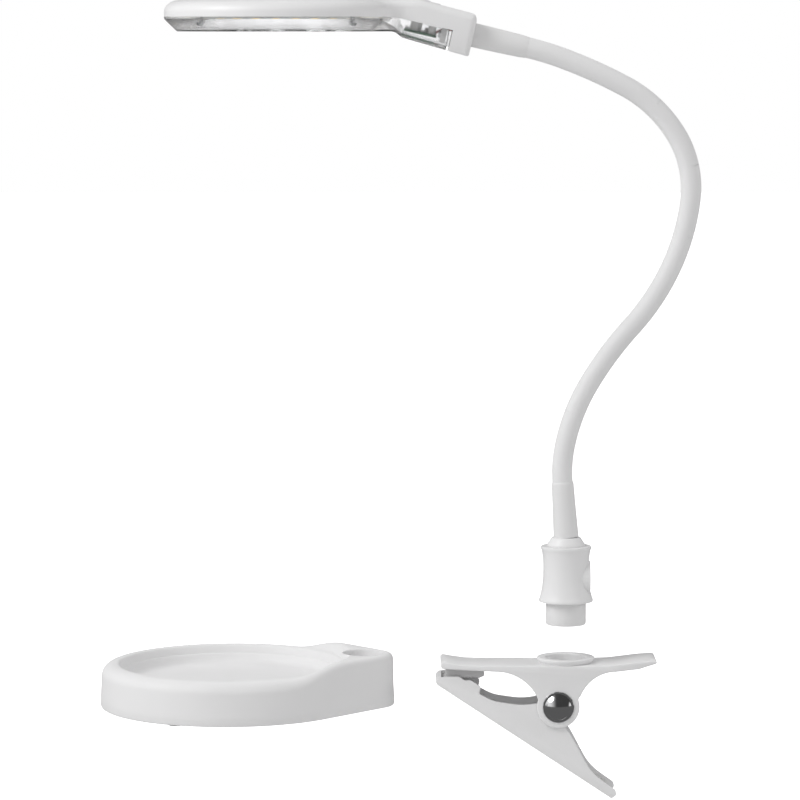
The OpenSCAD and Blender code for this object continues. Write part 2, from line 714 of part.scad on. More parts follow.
module neck_clamp() color("#cfd0d0") in_neck() difference() {
    translate([neck_len - end_block - 6, -9, -8.1]) cube([3.2, 18, 12.5]);
    translate([neck_len - end_block - 7, 0, 0]) rotate([0, 90, 0]) cylinder(r = 2.6, h = 9);
    for (y = [-6.6, 6.6]) translate([neck_len - end_block - 7, y, -4]) rotate([0, 90, 0])
        cylinder(r = screw_r + fit, h = 9);
}

module clamp_screws() color(steel) for (y = [-6.6, 6.6]) in_neck()
    translate([neck_len - end_block - 6, y, -4]) rotate([0, 90, 0]) {
        cylinder(r = screw_r, h = 3);
        translate([0, 0, -1.2]) cylinder(r = screw_head_r, h = 1.2);
    }

// rocker switch in the neck's top
module switch_body() color(black) in_neck() translate([rocker_at, 0, 0]) difference() {
    translate([0, 0, rocker_z - 4.4]) cube([rocker_len + 2.6, rocker_w + 3, 5], center = true);
    translate([0, 0, rocker_z - 1.8]) cube([rocker_len + 2 * gap, rocker_w + 2 * gap, 5], center = true);
    translate([0, 0, rocker_z - rocker_pin]) rotate([90, 0, 0])
        cylinder(r = 1 + fit, h = rocker_w + 2.4, center = true);
}

// a shallow V about its pin, tipped half its travel so that the end towards the ring stands proud
module switch_rocker() color(white) in_neck() translate([rocker_at, 0, rocker_z - rocker_pin])
    rotate([0, rocker_turn / 2, 0]) {
    top = rocker_pin + 0.9;
    rise = rocker_len / 2 * tan(rocker_turn / 2);
    half = rocker_len / 2 - (top + rise) * sin(rocker_turn / 2);
    slab(-rocker_w / 2, rocker_w / 2) polygon([[-half, top + rise], [0, top], [half, top + rise],
        [half - 0.3, top + rise - 1.5], [1.6, 0.8], [1, 0], [-1, 0], [-1.6, 0.8],
        [-half + 0.3, top + rise - 1.5]]);
    rotate([90, 0, 0]) cylinder(r = 1, h = rocker_w + 2.2, center = true);
}

// ---- desk stand ----

module in_stand() translate([-stand_x, 0, stand_z]) children();

// block of the stand's plan: a round body run out on tangents to the small nose
module stand_block(inset, h) {
    big = stand_r - inset;
    small = nose_r - inset;
    lean = asin((big - small) / nose_reach);
    up = [sin(lean), cos(lean)];
    down = [up[0], -up[1]];
    cylinder(r = big, h = h, $fn = 160);
    translate([nose_reach, 0, 0]) cylinder(r = small, h = h);
    // the flanks start a hair inside the round ends, so that the three shapes join
    linear_extrude(h) polygon([(big - eps) * up, [nose_reach, 0] + (small - eps) * up,
        [nose_reach, 0] + (small - eps) * down, (big - eps) * down]);
}

// half outline of the round body: outer wall, rounded edge, rim and dish
module stand_ring_outline() {
    steps = 8;
    polygon([[0, 0], [stand_r, 0],
        for (i = [0 : steps]) let (a = 90 * i / steps)
            [stand_r - stand_edge + stand_edge * cos(a), stand_h - 2 - stand_edge + stand_edge * sin(a)],
        [dish_r + 1.4, stand_h], [dish_r, stand_h - 0.6],
        [dish_r - 2.4, stand_h - dish_h + 2], [dish_r - 4.4, stand_h - dish_h], [0, stand_h - dish_h]]);
}

module stand_shell() color(white) in_stand() difference() {
    union() {
        rotate_extrude($fn = 160) stand_ring_outline();
        difference() {
            union() {
                stand_block(0, stand_h - 3);
                translate([nose_reach, 0, 0]) cylinder(r = nose_r, h = nose_h);
            }
            cylinder(r = dish_r + 1.6, h = 4 * stand_h, $fn = 160, center = true);
        }
    }
    // room for the weight, the plate and the nose's hollow
    translate([0, 0, -1]) stand_block(plate_inset, 1 + stand_wall);
    translate([0, 0, -1])
        cylinder(r = dish_r - 6, h = 1 + stand_h - dish_h - stand_wall, $fn = 160);
    translate([nose_reach, 0, nose_h - socket_depth]) cylinder(r = socket_r, h = socket_depth + 1);
    translate([nose_reach, 0, nose_h - 0.6]) cylinder(r1 = socket_r, r2 = socket_r + 0.8, h = 0.8);
    at_stand_screws() cylinder(r = screw_r + fit, h = 9);
}

module at_stand_screws() for (a = [60, 180, 300]) rotate([0, 0, a])
    translate([dish_r - 2, 0, 0]) children();

module stand_plate() color(shade) in_stand() difference() {
    translate([0, 0, 0.2]) stand_block(plate_inset + fit, stand_wall - 0.3);
    at_stand_screws() translate([0, 0, -1]) cylinder(r = screw_r + 2 * fit, h = 9);
    at_stand_screws() translate([0, 0, -0.6]) cylinder(r = screw_head_r + 0.2, h = 1.8);
}

module stand_weight() color("#6f7174") in_stand() difference() {
    translate([0, 0, stand_wall + 0.1])
        cylinder(r = dish_r - 6.6, h = stand_h - dish_h - 2 * stand_wall - 0.4);
    translate([0, 0, -1]) cylinder(r = 6, h = 2 * stand_h);
}

module stand_feet() color(black) in_stand() for (a = foot_angles) rotate([0, 0, a])
    translate([foot_ring, 0, -foot_h]) cylinder(d1 = foot_d - 1, d2 = foot_d, h = foot_h + 0.2);

module stand_screws() color(steel) in_stand() at_stand_screws() {
    translate([0, 0, -0.2]) cylinder(r = screw_head_r, h = 1.2);
    translate([0, 0, 0.9]) cylinder(r = screw_r, h = 7);
}

upper_jaw();
socket_cup();
pivot_rivet();
rivet_cap();
rivet_washers();
upper_pad();
lower_jaw();
lower_pad();
thumb_grip();
torsion_spring();
plug_stub();
swivel_circlip();
connector_shell();
connector_base();
connector_cap();
connector_screws();
inlet_housing();
inlet_pin();
lower_ferrule();
for (i = [0 : links - 1]) sleeve(i);
for (i = [0 : links - 1]) conduit(i);
upper_ferrule();
head_shell();
clear_cover();
lens();
led_board();
leds();
cover_screws();
driver_board();
driver_parts();
head_wires();
neck_clamp();
clamp_screws();
switch_body();
switch_rocker();
stand_shell();
stand_plate();
stand_weight();
stand_feet();
stand_screws();
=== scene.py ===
import math

import bmesh
import bpy
from mathutils import Matrix, Vector
from mathutils.geometry import delaunay_2d_cdt


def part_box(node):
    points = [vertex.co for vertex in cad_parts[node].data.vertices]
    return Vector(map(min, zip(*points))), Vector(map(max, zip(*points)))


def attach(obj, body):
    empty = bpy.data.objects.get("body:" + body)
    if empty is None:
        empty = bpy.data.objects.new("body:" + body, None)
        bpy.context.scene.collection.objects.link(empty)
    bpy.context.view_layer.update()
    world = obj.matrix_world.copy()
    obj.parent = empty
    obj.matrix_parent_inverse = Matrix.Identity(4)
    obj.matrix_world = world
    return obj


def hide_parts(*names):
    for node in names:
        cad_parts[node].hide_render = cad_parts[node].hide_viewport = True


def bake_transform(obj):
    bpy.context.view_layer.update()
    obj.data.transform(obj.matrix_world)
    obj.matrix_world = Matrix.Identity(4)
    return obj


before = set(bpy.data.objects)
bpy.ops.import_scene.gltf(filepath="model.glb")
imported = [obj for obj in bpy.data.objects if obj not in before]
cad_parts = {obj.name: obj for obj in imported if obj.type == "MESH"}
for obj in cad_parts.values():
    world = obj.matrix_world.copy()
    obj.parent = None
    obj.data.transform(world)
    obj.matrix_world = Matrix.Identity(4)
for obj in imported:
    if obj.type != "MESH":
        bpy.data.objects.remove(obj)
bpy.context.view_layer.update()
mm = 0.001
print("frame loaded")


# small mesh tools, all sizes in millimetres

def smoothStep(x, low, high):
    t = min(1.0, max(0.0, (x - low) / (high - low)))
    return t * t * (3 - 2 * t)


def linkMesh(name, bm, sharp=35):
    for v in [v for v in bm.verts if not v.link_faces]:
        bm.verts.remove(v)
    bmesh.ops.recalc_face_normals(bm, faces=bm.faces)
    mesh = bpy.data.meshes.new(name)
    bm.to_mesh(mesh)
    bm.free()
    mesh.transform(Matrix.Scale(mm, 4))
    mesh.shade_smooth()
    mesh.set_sharp_from_angle(angle=math.radians(sharp))
    obj = bpy.data.objects.new(name, mesh)
    bpy.context.scene.collection.objects.link(obj)
    return obj


def makePlain(obj):
    # modifiers become plain mesh
    bpy.context.view_layer.update()
    graph = bpy.context.evaluated_depsgraph_get()
    mesh = bpy.data.meshes.new_from_object(obj.evaluated_get(graph), depsgraph=graph)
    obj.modifiers.clear()
    obj.data = mesh
    return obj


def settle(obj, sharp=35):
    makePlain(obj)
    obj.data.shade_smooth()
    obj.data.set_sharp_from_angle(angle=math.radians(sharp))
    return obj


def cutOrJoin(obj, tool, operation):
    mod = obj.modifiers.new("bool", "BOOLEAN")
    mod.operation = operation
    mod.solver = "EXACT"
    mod.object = tool
    settle(obj)
    bpy.data.objects.remove(tool)
    return obj


def rounded(obj, width, segments=3, angle=30):
    mod = obj.modifiers.new("round", "BEVEL")
    mod.width = width * mm
    mod.segments = segments
    mod.limit_method = "ANGLE"
    mod.angle_limit = math.radians(angle)
    mod.miter_outer = "MITER_ARC"
    weighted = obj.modifiers.new("weighted", "WEIGHTED_NORMAL")
    weighted.keep_sharp = True
    weighted.weight = 80
    return makePlain(obj)


def placed(at=(0, 0, 0), axis=(0, 0, 1)):
    # matrix that puts local +Z on the given axis at the given point
    z = Vector(axis).normalized()
    x = Vector((0, 1, 0)).cross(z)
    x = x.normalized() if x.length > 1e-6 else Vector((1, 0, 0))
    y = z.cross(x)
    m = Matrix((x, y, z)).transposed().to_4x4()
    m.translation = Vector(at)
    return m


def arcPoints(cx, cz, r, a0, a1, steps):
    return [(cx + r * math.cos(math.radians(a0 + (a1 - a0) * i / steps)),
             cz + r * math.sin(math.radians(a0 + (a1 - a0) * i / steps))) for i in range(steps + 1)]


def softCorners(points, radius, steps=4):
    # rounds every corner of a closed 2-D outline
    out = []
    n = len(points)
    for i in range(n):
        p = Vector(points[i])
        a = Vector(points[i - 1]) - p
        b = Vector(points[(i + 1) % n]) - p
        r = radius[i] if isinstance(radius, (list, tuple)) else radius
        reach = min(r, a.length * 0.45, b.length * 0.45)
        if reach < 0.02:
            out.append(tuple(p))
            continue
        start = p + a.normalized() * reach
        end = p + b.normalized() * reach
        for k in range(steps + 1):
            t = k / steps
            out.append(tuple((1 - t) ** 2 * start + 2 * t * (1 - t) * p + t * t * end))
    return out


def revolve(name, outline, matrix=None, steps=128, closed=False):
    # outline of (radius, height) pairs, turned round local Z
    bm = bmesh.new()
    rings = []
    for r, z in outline:
        if r < 1e-6:
            rings.append([bm.verts.new((0, 0, z))])
        else:
            rings.append([bm.verts.new((r * math.cos(2 * math.pi * i / steps),
                                        r * math.sin(2 * math.pi * i / steps), z)) for i in range(steps)])
    pairs = list(zip(rings, rings[1:] + ([rings[0]] if closed else [])))
    for low, high in pairs:
        if len(low) == 1 and len(high) == 1:
            continue
        for i in range(steps):
            j = (i + 1) % steps
            if len(low) == 1:
                bm.faces.new((low[0], high[j], high[i]))
            elif len(high) == 1:
                bm.faces.new((low[i], low[j], high[0]))
            else:
                bm.faces.new((low[i], low[j], high[j], high[i]))
    if matrix is not None:
        bm.transform(matrix)
    return linkMesh(name, bm)


def plate(name, outline, y0, y1):
    # side view outline of (x, z) pairs, between two widths
    bm = bmesh.new()
    near = [bm.verts.new((x, y0, z)) for x, z in outline]
    far = [bm.verts.new((x, y1, z)) for x, z in outline]
    bm.faces.new(near)
    bm.faces.new(list(reversed(far)))
    n = len(outline)
    for i in range(n):
        j = (i + 1) % n
        bm.faces.new((near[i], far[i], far[j], near[j]))
    return linkMesh(name, bm)


def rod(name, r, z0, z1, matrix, steps):
    return revolve(name, [(0, z0), (r, z0), (r, z1), (0, z1)], matrix, steps)


def crossPin(name, x, z, r, y0, y1, steps=64):
    return rod(name, r, 0, y1 - y0, placed((x, y0, z), (0, 1, 0)), steps)


def joinObjects(name, objs):
    bm = bmesh.new()
    for o in objs:
        bm.from_mesh(o.data)
    mesh = bpy.data.meshes.new(name)
    bm.to_mesh(mesh)
    bm.free()
    for o in objs:
        bpy.data.objects.remove(o)
    obj = bpy.data.objects.new(name, mesh)
    bpy.context.scene.collection.objects.link(obj)
    mesh.shade_smooth()
    mesh.set_sharp_from_angle(angle=math.radians(35))
    return obj


def fillFlat(bm, loops, extra, keep):
    # fills the area between loops of (vertex, plan x, plan y); extra holds inner points the same way
    verts, keys, edges = [], [], []
    for loop in loops:
        first = len(verts)
        for v, x, y in loop:
            verts.append(v)
            keys.append(Vector((x, y)))
        count = len(loop)
        edges += [(first + i, first + (i + 1) % count) for i in range(count)]
    for v, x, y in extra:
        verts.append(v)
        keys.append(Vector((x, y)))
    coords, _, faces, source, _, _ = delaunay_2d_cdt(keys, edges, [], 1, 1e-5)
    for face in faces:
        middle = sum((coords[i] for i in face), Vector((0, 0))) / len(face)
        if not keep(middle.x, middle.y):
            continue
        ids = [source[i][0] if source[i] else None for i in face]
        if None in ids or len(set(ids)) < 3:
            continue
        try:
            bm.faces.new([verts[i] for i in ids])
        except ValueError:
            pass


def strip(bm, a, b):
    # a band of faces between two closed loops of the same count
    n = len(a)
    for i in range(n):
        j = (i + 1) % n
        quad = []
        for v in (a[i], a[j], b[j], b[i]):
            if v not in quad:
                quad.append(v)
        if len(quad) > 2:
            bm.faces.new(quad)


# finishes

def newGroup(name, inputs, outputs):
    tree = bpy.data.node_groups.new(name, "ShaderNodeTree")
    for socketName, kind, value in inputs:
        socket = tree.interface.new_socket(name=socketName, in_out="INPUT", socket_type=kind)
        if value is not None:
            socket.default_value = value
    for socketName, kind in outputs:
        tree.interface.new_socket(name=socketName, in_out="OUTPUT", socket_type=kind)
    return tree, tree.nodes.new("NodeGroupInput"), tree.nodes.new("NodeGroupOutput")


def addNode(tree, kind, **values):
    node = tree.nodes.new(kind)
    for key, value in values.items():
        setattr(node, key, value)
    return node


def buildSkinGroup():
    # cloudy colour drift, fine roughness variation and a moulded grain
    tree, inp, out = newGroup("mouldedSkin", [
        ("Vector", "NodeSocketVector", None), ("Light tone", "NodeSocketColor", (0.9, 0.9, 0.9, 1)),
        ("Deep tone", "NodeSocketColor", (0.8, 0.8, 0.8, 1)), ("Drift scale", "NodeSocketFloat", 14.0),
        ("Grain scale", "NodeSocketFloat", 1600.0), ("Roughness low", "NodeSocketFloat", 0.3),
        ("Roughness high", "NodeSocketFloat", 0.42)],
        [("Colour", "NodeSocketColor"), ("Roughness", "NodeSocketFloat"), ("Height", "NodeSocketFloat")])
    link = tree.links.new
    drift = addNode(tree, "ShaderNodeTexNoise")
    drift.inputs["Detail"].default_value = 3
    link(inp.outputs["Vector"], drift.inputs["Vector"])
    link(inp.outputs["Drift scale"], drift.inputs["Scale"])
    mix = addNode(tree, "ShaderNodeMix", data_type="RGBA")
    ramp = addNode(tree, "ShaderNodeMapRange")
    ramp.inputs["From Min"].default_value = 0.35
    ramp.inputs["From Max"].default_value = 0.68
    link(drift.outputs["Fac"], ramp.inputs["Value"])
    link(ramp.outputs["Result"], mix.inputs["Factor"])
    link(inp.outputs["Light tone"], mix.inputs["A"])
    link(inp.outputs["Deep tone"], mix.inputs["B"])
    link(mix.outputs["Result"], out.inputs["Colour"])
    smear = addNode(tree, "ShaderNodeTexNoise")
    smear.inputs["Detail"].default_value = 5
    smear.inputs["Scale"].default_value = 90
    smear.inputs["Distortion"].default_value = 0.6
    link(inp.outputs["Vector"], smear.inputs["Vector"])
    gloss = addNode(tree, "ShaderNodeMapRange")
    gloss.inputs["From Min"].default_value = 0.3
    gloss.inputs["From Max"].default_value = 0.7
    link(smear.outputs["Fac"], gloss.inputs["Value"])
    link(inp.outputs["Roughness low"], gloss.inputs["To Min"])
    link(inp.outputs["Roughness high"], gloss.inputs["To Max"])
    link(gloss.outputs["Result"], out.inputs["Roughness"])
    grain = addNode(tree, "ShaderNodeTexNoise")
    grain.inputs["Detail"].default_value = 2
    link(inp.outputs["Vector"], grain.inputs["Vector"])
    link(inp.outputs["Grain scale"], grain.inputs["Scale"])
    link(grain.outputs["Fac"], out.inputs["Height"])
    return tree


def buildScuffGroup():
    # sparse fine rub marks, long along one direction
    tree, inp, out = newGroup("rubMarks", [
        ("Vector", "NodeSocketVector", None), ("Scale", "NodeSocketFloat", 300.0),
        ("Stretch", "NodeSocketVector", (1.0, 1.0, 0.12)), ("Sparse", "NodeSocketFloat", 0.66)],
        [("Mask", "NodeSocketFloat")])
    link = tree.links.new
    mult = addNode(tree, "ShaderNodeVectorMath", operation="MULTIPLY")
    link(inp.outputs["Vector"], mult.inputs[0])
    link(inp.outputs["Stretch"], mult.inputs[1])
    noise = addNode(tree, "ShaderNodeTexNoise")
    noise.inputs["Detail"].default_value = 4
    noise.inputs["Roughness"].default_value = 0.6
    link(mult.outputs["Vector"], noise.inputs["Vector"])
    link(inp.outputs["Scale"], noise.inputs["Scale"])
    edge = addNode(tree, "ShaderNodeMath", operation="ADD")
    edge.inputs[1].default_value = 0.09
    link(inp.outputs["Sparse"], edge.inputs[0])
    cut = addNode(tree, "ShaderNodeMapRange")
    link(noise.outputs["Fac"], cut.inputs["Value"])
    link(inp.outputs["Sparse"], cut.inputs["From Min"])
    link(edge.outputs["Value"], cut.inputs["From Max"])
    link(cut.outputs["Result"], out.inputs["Mask"])
    return tree


skinGroup = buildSkinGroup()
scuffGroup = buildScuffGroup()


def makeFinish(name, light, deep, rough=(0.3, 0.42), grain=1600.0, bump=0.04, drift=14.0, metallic=0.0,
               coat=0.0, coatRough=0.1, scuff=0.0, stretch=(1.0, 1.0, 0.12), scuffScale=300.0,
               specular=0.5, transmission=0.0, ior=1.46, glow=None):
    mat = bpy.data.materials.new(name)
    mat.use_nodes = True
    tree = mat.node_tree
    link = tree.links.new
    shader = tree.nodes["Principled BSDF"]
    coords = addNode(tree, "ShaderNodeTexCoord")
    skin = addNode(tree, "ShaderNodeGroup", node_tree=skinGroup)
    skin.inputs["Light tone"].default_value = (*light, 1)
    skin.inputs["Deep tone"].default_value = (*deep, 1)
    skin.inputs["Drift scale"].default_value = drift
    skin.inputs["Grain scale"].default_value = grain
    skin.inputs["Roughness low"].default_value = rough[0]
    skin.inputs["Roughness high"].default_value = rough[1]
    link(coords.outputs["Object"], skin.inputs["Vector"])
    link(skin.outputs["Colour"], shader.inputs["Base Color"])
    roughness = skin.outputs["Roughness"]
    if scuff > 0:
        marks = addNode(tree, "ShaderNodeGroup", node_tree=scuffGroup)
        marks.inputs["Scale"].default_value = scuffScale
        marks.inputs["Stretch"].default_value = stretch
        link(coords.outputs["Object"], marks.inputs["Vector"])
        more = addNode(tree, "ShaderNodeMath", operation="MULTIPLY_ADD")
        more.inputs[1].default_value = scuff
        link(marks.outputs["Mask"], more.inputs[0])
        link(roughness, more.inputs[2])
        roughness = more.outputs["Value"]
    link(roughness, shader.inputs["Roughness"])
    relief = addNode(tree, "ShaderNodeBump")
    relief.inputs["Strength"].default_value = bump
    relief.inputs["Distance"].default_value = 0.0002
    link(skin.outputs["Height"], relief.inputs["Height"])
    link(relief.outputs["Normal"], shader.inputs["Normal"])
    shader.inputs["Metallic"].default_value = metallic
    shader.inputs["Coat Weight"].default_value = coat
    shader.inputs["Coat Roughness"].default_value = coatRough
    shader.inputs["Specular IOR Level"].default_value = specular
    shader.inputs["Transmission Weight"].default_value = transmission
    shader.inputs["IOR"].default_value = ior
    # emission painted on the surface; only the LEDs use it, as a painted glint
    if glow:
        shader.inputs["Emission Color"].default_value = (*glow[0], 1)
        shader.inputs["Emission Strength"].default_value = glow[1]
    return mat


finishes = {
    "glossWhite": makeFinish("glossWhite", (0.825, 0.823, 0.826), (0.80, 0.797, 0.80), (0.36, 0.46), 900, 0.03,
                             coat=0.08, coatRough=0.25, scuff=0.025),
    "satinWhite": makeFinish("satinWhite", (0.80, 0.797, 0.80), (0.775, 0.772, 0.775), (0.5, 0.62), 2200, 0.08,
                             scuff=0.04),
    "warmWhite": makeFinish("warmWhite", (0.79, 0.787, 0.788), (0.765, 0.762, 0.762), (0.42, 0.54), 1400, 0.05,
                            scuff=0.04),
    "panelWhite": makeFinish("panelWhite", (0.74, 0.74, 0.73), (0.69, 0.69, 0.68), (0.5, 0.62), 1800, 0.2,
                             scuff=0.2),
    "clearPlastic": makeFinish("clearPlastic", (0.87, 0.87, 0.875), (0.83, 0.83, 0.835), (0.16, 0.24), 700, 0.05,
                               scuff=0.06, transmission=1.0, ior=1.49),
    "lensGlass": makeFinish("lensGlass", (0.95, 0.975, 0.98), (0.93, 0.96, 0.97), (0.0, 0.03), 400, 0.01,
                            transmission=1.0, ior=1.5),
    "gripRubber": makeFinish("gripRubber", (0.60, 0.595, 0.60), (0.55, 0.545, 0.55), (0.62, 0.8), 2600, 0.5,
                             drift=60, specular=0.4, scuff=0.08),
    "footRubber": makeFinish("footRubber", (0.028, 0.028, 0.03), (0.018, 0.018, 0.02), (0.6, 0.78), 2200, 0.4,
                             drift=60, scuff=0.1),
    "chromed": makeFinish("chromed", (0.78, 0.78, 0.79), (0.72, 0.72, 0.73), (0.09, 0.14), 500, 0.02,
                          metallic=1.0, scuff=0.14, stretch=(1, 0.2, 1)),
    "plainSteel": makeFinish("plainSteel", (0.52, 0.53, 0.54), (0.42, 0.43, 0.44), (0.26, 0.4), 1500, 0.15,
                             drift=120, metallic=1.0, scuff=0.2, scuffScale=900),
    "springSteel": makeFinish("springSteel", (0.42, 0.43, 0.44), (0.33, 0.33, 0.35), (0.24, 0.38), 1800, 0.1,
                              drift=160, metallic=1.0, scuff=0.2, scuffScale=700),
    "castIron": makeFinish("castIron", (0.10, 0.10, 0.105), (0.06, 0.06, 0.062), (0.6, 0.8), 500, 0.8,
                           drift=40, metallic=0.8, scuff=0.1),
    "boardWhite": makeFinish("boardWhite", (0.72, 0.75, 0.72), (0.64, 0.68, 0.64), (0.3, 0.45), 1200, 0.1,
                             drift=80, scuff=0.1),
    "boardGreen": makeFinish("boardGreen", (0.03, 0.10, 0.05), (0.02, 0.07, 0.035), (0.3, 0.45), 900, 0.3,
                             drift=200, scuff=0.1),
    # yellow phosphor colour plus a faint warm glow that is a painted glint on the LED windows
    "ledPhosphorPaintedGlint": makeFinish("ledPhosphorPaintedGlint", (0.86, 0.66, 0.24), (0.80, 0.58, 0.18), (0.3, 0.45), 1200, 0.1,
                              drift=300, scuff=0.1, glow=((1.0, 0.78, 0.42), 0.5)),
    "darkPlastic": makeFinish("darkPlastic", (0.02, 0.02, 0.022), (0.012, 0.012, 0.014), (0.3, 0.46), 1600, 0.15,
                              drift=80, scuff=0.15),
    "redWire": makeFinish("redWire", (0.42, 0.05, 0.04), (0.34, 0.035, 0.03), (0.35, 0.5), 2000, 0.1,
                          drift=200, scuff=0.1),
}

cadFinish = {
    "boardWhite": ["led_board"], "boardGreen": ["driver_board"],
    "darkPlastic": ["inlet_housing", "switch_body"], "redWire": ["head_wires"],
    "panelWhite": ["neck_clamp", "stand_plate", "driver_parts"], "castIron": ["stand_weight"],
    "plainSteel": ["clamp_screws", "inlet_pin", "swivel_circlip"] + ["conduit_%d" % i for i in range(1, 10)],
    "glossWhite": ["connector_base"],
}


def wear(obj, finish):
    obj.data.materials.clear()
    obj.data.materials.append(finishes[finish])
    return obj


def putOn(obj, finish, slotName, body, *nodes):
    wear(obj, finish)
    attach(obj, body)
    if nodes:
        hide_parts(*nodes)
    return obj


for finish, nodeNames in cadFinish.items():
    for nodeName in nodeNames:
        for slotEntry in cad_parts[nodeName].material_slots:
            slotEntry.material = finishes[finish]
print("finishes ready")


# geometry node trees

def newGeometryTree(name, inputs):
    tree = bpy.data.node_groups.new(name, "GeometryNodeTree")
    tree.interface.new_socket(name="Geometry", in_out="INPUT", socket_type="NodeSocketGeometry")
    for socketName, kind, value in inputs:
        socket = tree.interface.new_socket(name=socketName, in_out="INPUT", socket_type=kind)
        if value is not None:
            socket.default_value = value
    tree.interface.new_socket(name="Geometry", in_out="OUTPUT", socket_type="NodeSocketGeometry")
    return tree, tree.nodes.new("NodeGroupInput"), tree.nodes.new("NodeGroupOutput")


def runTree(name, mesh, tree, values, sharp=35):
    obj = bpy.data.objects.new(name, mesh)
    bpy.context.scene.collection.objects.link(obj)
    mod = obj.modifiers.new("build", "NODES")
    mod.node_group = tree
    for item in tree.interface.items_tree:
        if item.in_out == "INPUT" and item.name in values:
            mod[item.identifier] = values[item.name]
    settle(obj, sharp)
    return obj


def buildTubeTree():
    # a round section swept along a line of points
    tree, inp, out = newGeometryTree("tubeAlongPath", [
        ("Radius", "NodeSocketFloat", 0.005), ("Sides", "NodeSocketInt", 32),
        ("Closed ends", "NodeSocketBool", True), ("Finish", "NodeSocketMaterial", None)])
    link = tree.links.new
    curve = tree.nodes.new("GeometryNodeMeshToCurve")
    link(inp.outputs["Geometry"], curve.inputs["Mesh"])
    circle = tree.nodes.new("GeometryNodeCurvePrimitiveCircle")
    link(inp.outputs["Sides"], circle.inputs["Resolution"])
    link(inp.outputs["Radius"], circle.inputs["Radius"])
    sweep = tree.nodes.new("GeometryNodeCurveToMesh")
    link(curve.outputs["Curve"], sweep.inputs["Curve"])
    link(circle.outputs["Curve"], sweep.inputs["Profile Curve"])
    link(inp.outputs["Closed ends"], sweep.inputs["Fill Caps"])
    real = tree.nodes.new("GeometryNodeRealizeInstances")
    link(sweep.outputs["Mesh"], real.inputs["Geometry"])
    paint = tree.nodes.new("GeometryNodeSetMaterial")
    link(real.outputs["Geometry"], paint.inputs["Geometry"])
    link(inp.outputs["Finish"], paint.inputs["Material"])
    link(paint.outputs["Geometry"], out.inputs["Geometry"])
    return tree


def buildScatterTree():
    # one small shape set on every point, turned to each point's own heading
    tree, inp, out = newGeometryTree("shapeOnPoints", [
        ("Shape", "NodeSocketObject", None), ("Scale", "NodeSocketFloat", 1.0),
        ("Finish", "NodeSocketMaterial", None)])
    link = tree.links.new
    info = tree.nodes.new("GeometryNodeObjectInfo")
    link(inp.outputs["Shape"], info.inputs["Object"])
    turn = tree.nodes.new("GeometryNodeInputNamedAttribute")
    turn.data_type = "FLOAT_VECTOR"
    turn.inputs["Name"].default_value = "turn"
    euler = tree.nodes.new("FunctionNodeEulerToRotation")
    link(turn.outputs["Attribute"], euler.inputs["Euler"])
    place = tree.nodes.new("GeometryNodeInstanceOnPoints")
    link(inp.outputs["Geometry"], place.inputs["Points"])
    link(info.outputs["Geometry"], place.inputs["Instance"])
    link(euler.outputs["Rotation"], place.inputs["Rotation"])
    link(inp.outputs["Scale"], place.inputs["Scale"])
    real = tree.nodes.new("GeometryNodeRealizeInstances")
    link(place.outputs["Instances"], real.inputs["Geometry"])
    paint = tree.nodes.new("GeometryNodeSetMaterial")
    link(real.outputs["Geometry"], paint.inputs["Geometry"])
    link(inp.outputs["Finish"], paint.inputs["Material"])
    link(paint.outputs["Geometry"], out.inputs["Geometry"])
    return tree


tubeTree = buildTubeTree()
scatterTree = buildScatterTree()


def tube(name, points, radius, finish, sides):
    mesh = bpy.data.meshes.new(name)
    mesh.from_pydata([Vector(p) * mm for p in points], [(i, i + 1) for i in range(len(points) - 1)], [])
    return runTree(name, mesh, tubeTree, {"Radius": radius * mm, "Sides": sides, "Closed ends": True,
                                          "Finish": finishes[finish]}, 50)


def onPoints(name, shape, points, turns, finish):
    # points in millimetres, turns as x, y, z angles in radians; the shape is drawn at the origin
    mesh = bpy.data.meshes.new(name)
    mesh.from_pydata([Vector(p) * mm for p in points], [], [])
    turnData = mesh.attributes.new("turn", "FLOAT_VECTOR", "POINT")
    for entry, t in zip(turnData.data, turns):
        entry.vector = t
    obj = runTree(name, mesh, scatterTree, {"Shape": shape, "Scale": 1.0, "Finish": finishes[finish]})
    bpy.data.objects.remove(shape)
    return obj


print("node trees ready")


# camera, light and floor

stageSettings = {
    "camera": (-0.0359, -2.15, 0.362), "pitch": 5.542, "fieldOfView": 11.66, "floor": -0.26, "floorSize": 12000,
    "backdrop": 1.0, "overhead": 0.62, "side": 0.46, "behind": 0.7, "front": 0.66, "below": 0.55,
    "window": 0.95, "room": 0.05, "floorGlow": 0.9, "floorTone": 0.75, "floorMirror": 0.12,
    "aim": (0, 0, 0.2),
    # name, place, width in metres, power
    "lamps": [("keyLight", (-1.7, -0.9, 1.7), 1.5, 30), ("fillLight", (1.9, -0.2, 0.9), 0.5, 5),
              ("backLight", (0.3, 1.6, 1.6), 1.2, 6)]}


def seenDirectly(tree):
    # 1 for rays from the camera and rays through clear parts
    path = tree.nodes.new("ShaderNodeLightPath")
    direct = addNode(tree, "ShaderNodeMath", operation="MAXIMUM")
    tree.links.new(path.outputs["Is Camera Ray"], direct.inputs[0])
    tree.links.new(path.outputs["Is Transmission Ray"], direct.inputs[1])
    return path, direct.outputs["Value"]


def pickShader(tree, factor, first, second):
    pick = tree.nodes.new("ShaderNodeMixShader")
    tree.links.new(factor, pick.inputs["Fac"])
    tree.links.new(first, pick.inputs[1])
    tree.links.new(second, pick.inputs[2])
    return pick.outputs["Shader"]


def buildCamera(s):
    camera = bpy.data.objects.new("camera", bpy.data.cameras.new("camera"))
    bpy.context.scene.collection.objects.link(camera)
    camera.location = s["camera"]
    camera.rotation_euler = (math.radians(90 - s["pitch"]), 0, 0)
    camera.data.sensor_width = 36
    camera.data.lens = 18 / math.tan(math.radians(s["fieldOfView"] / 2))
    camera.data.clip_end = 50
    bpy.context.scene.camera = camera


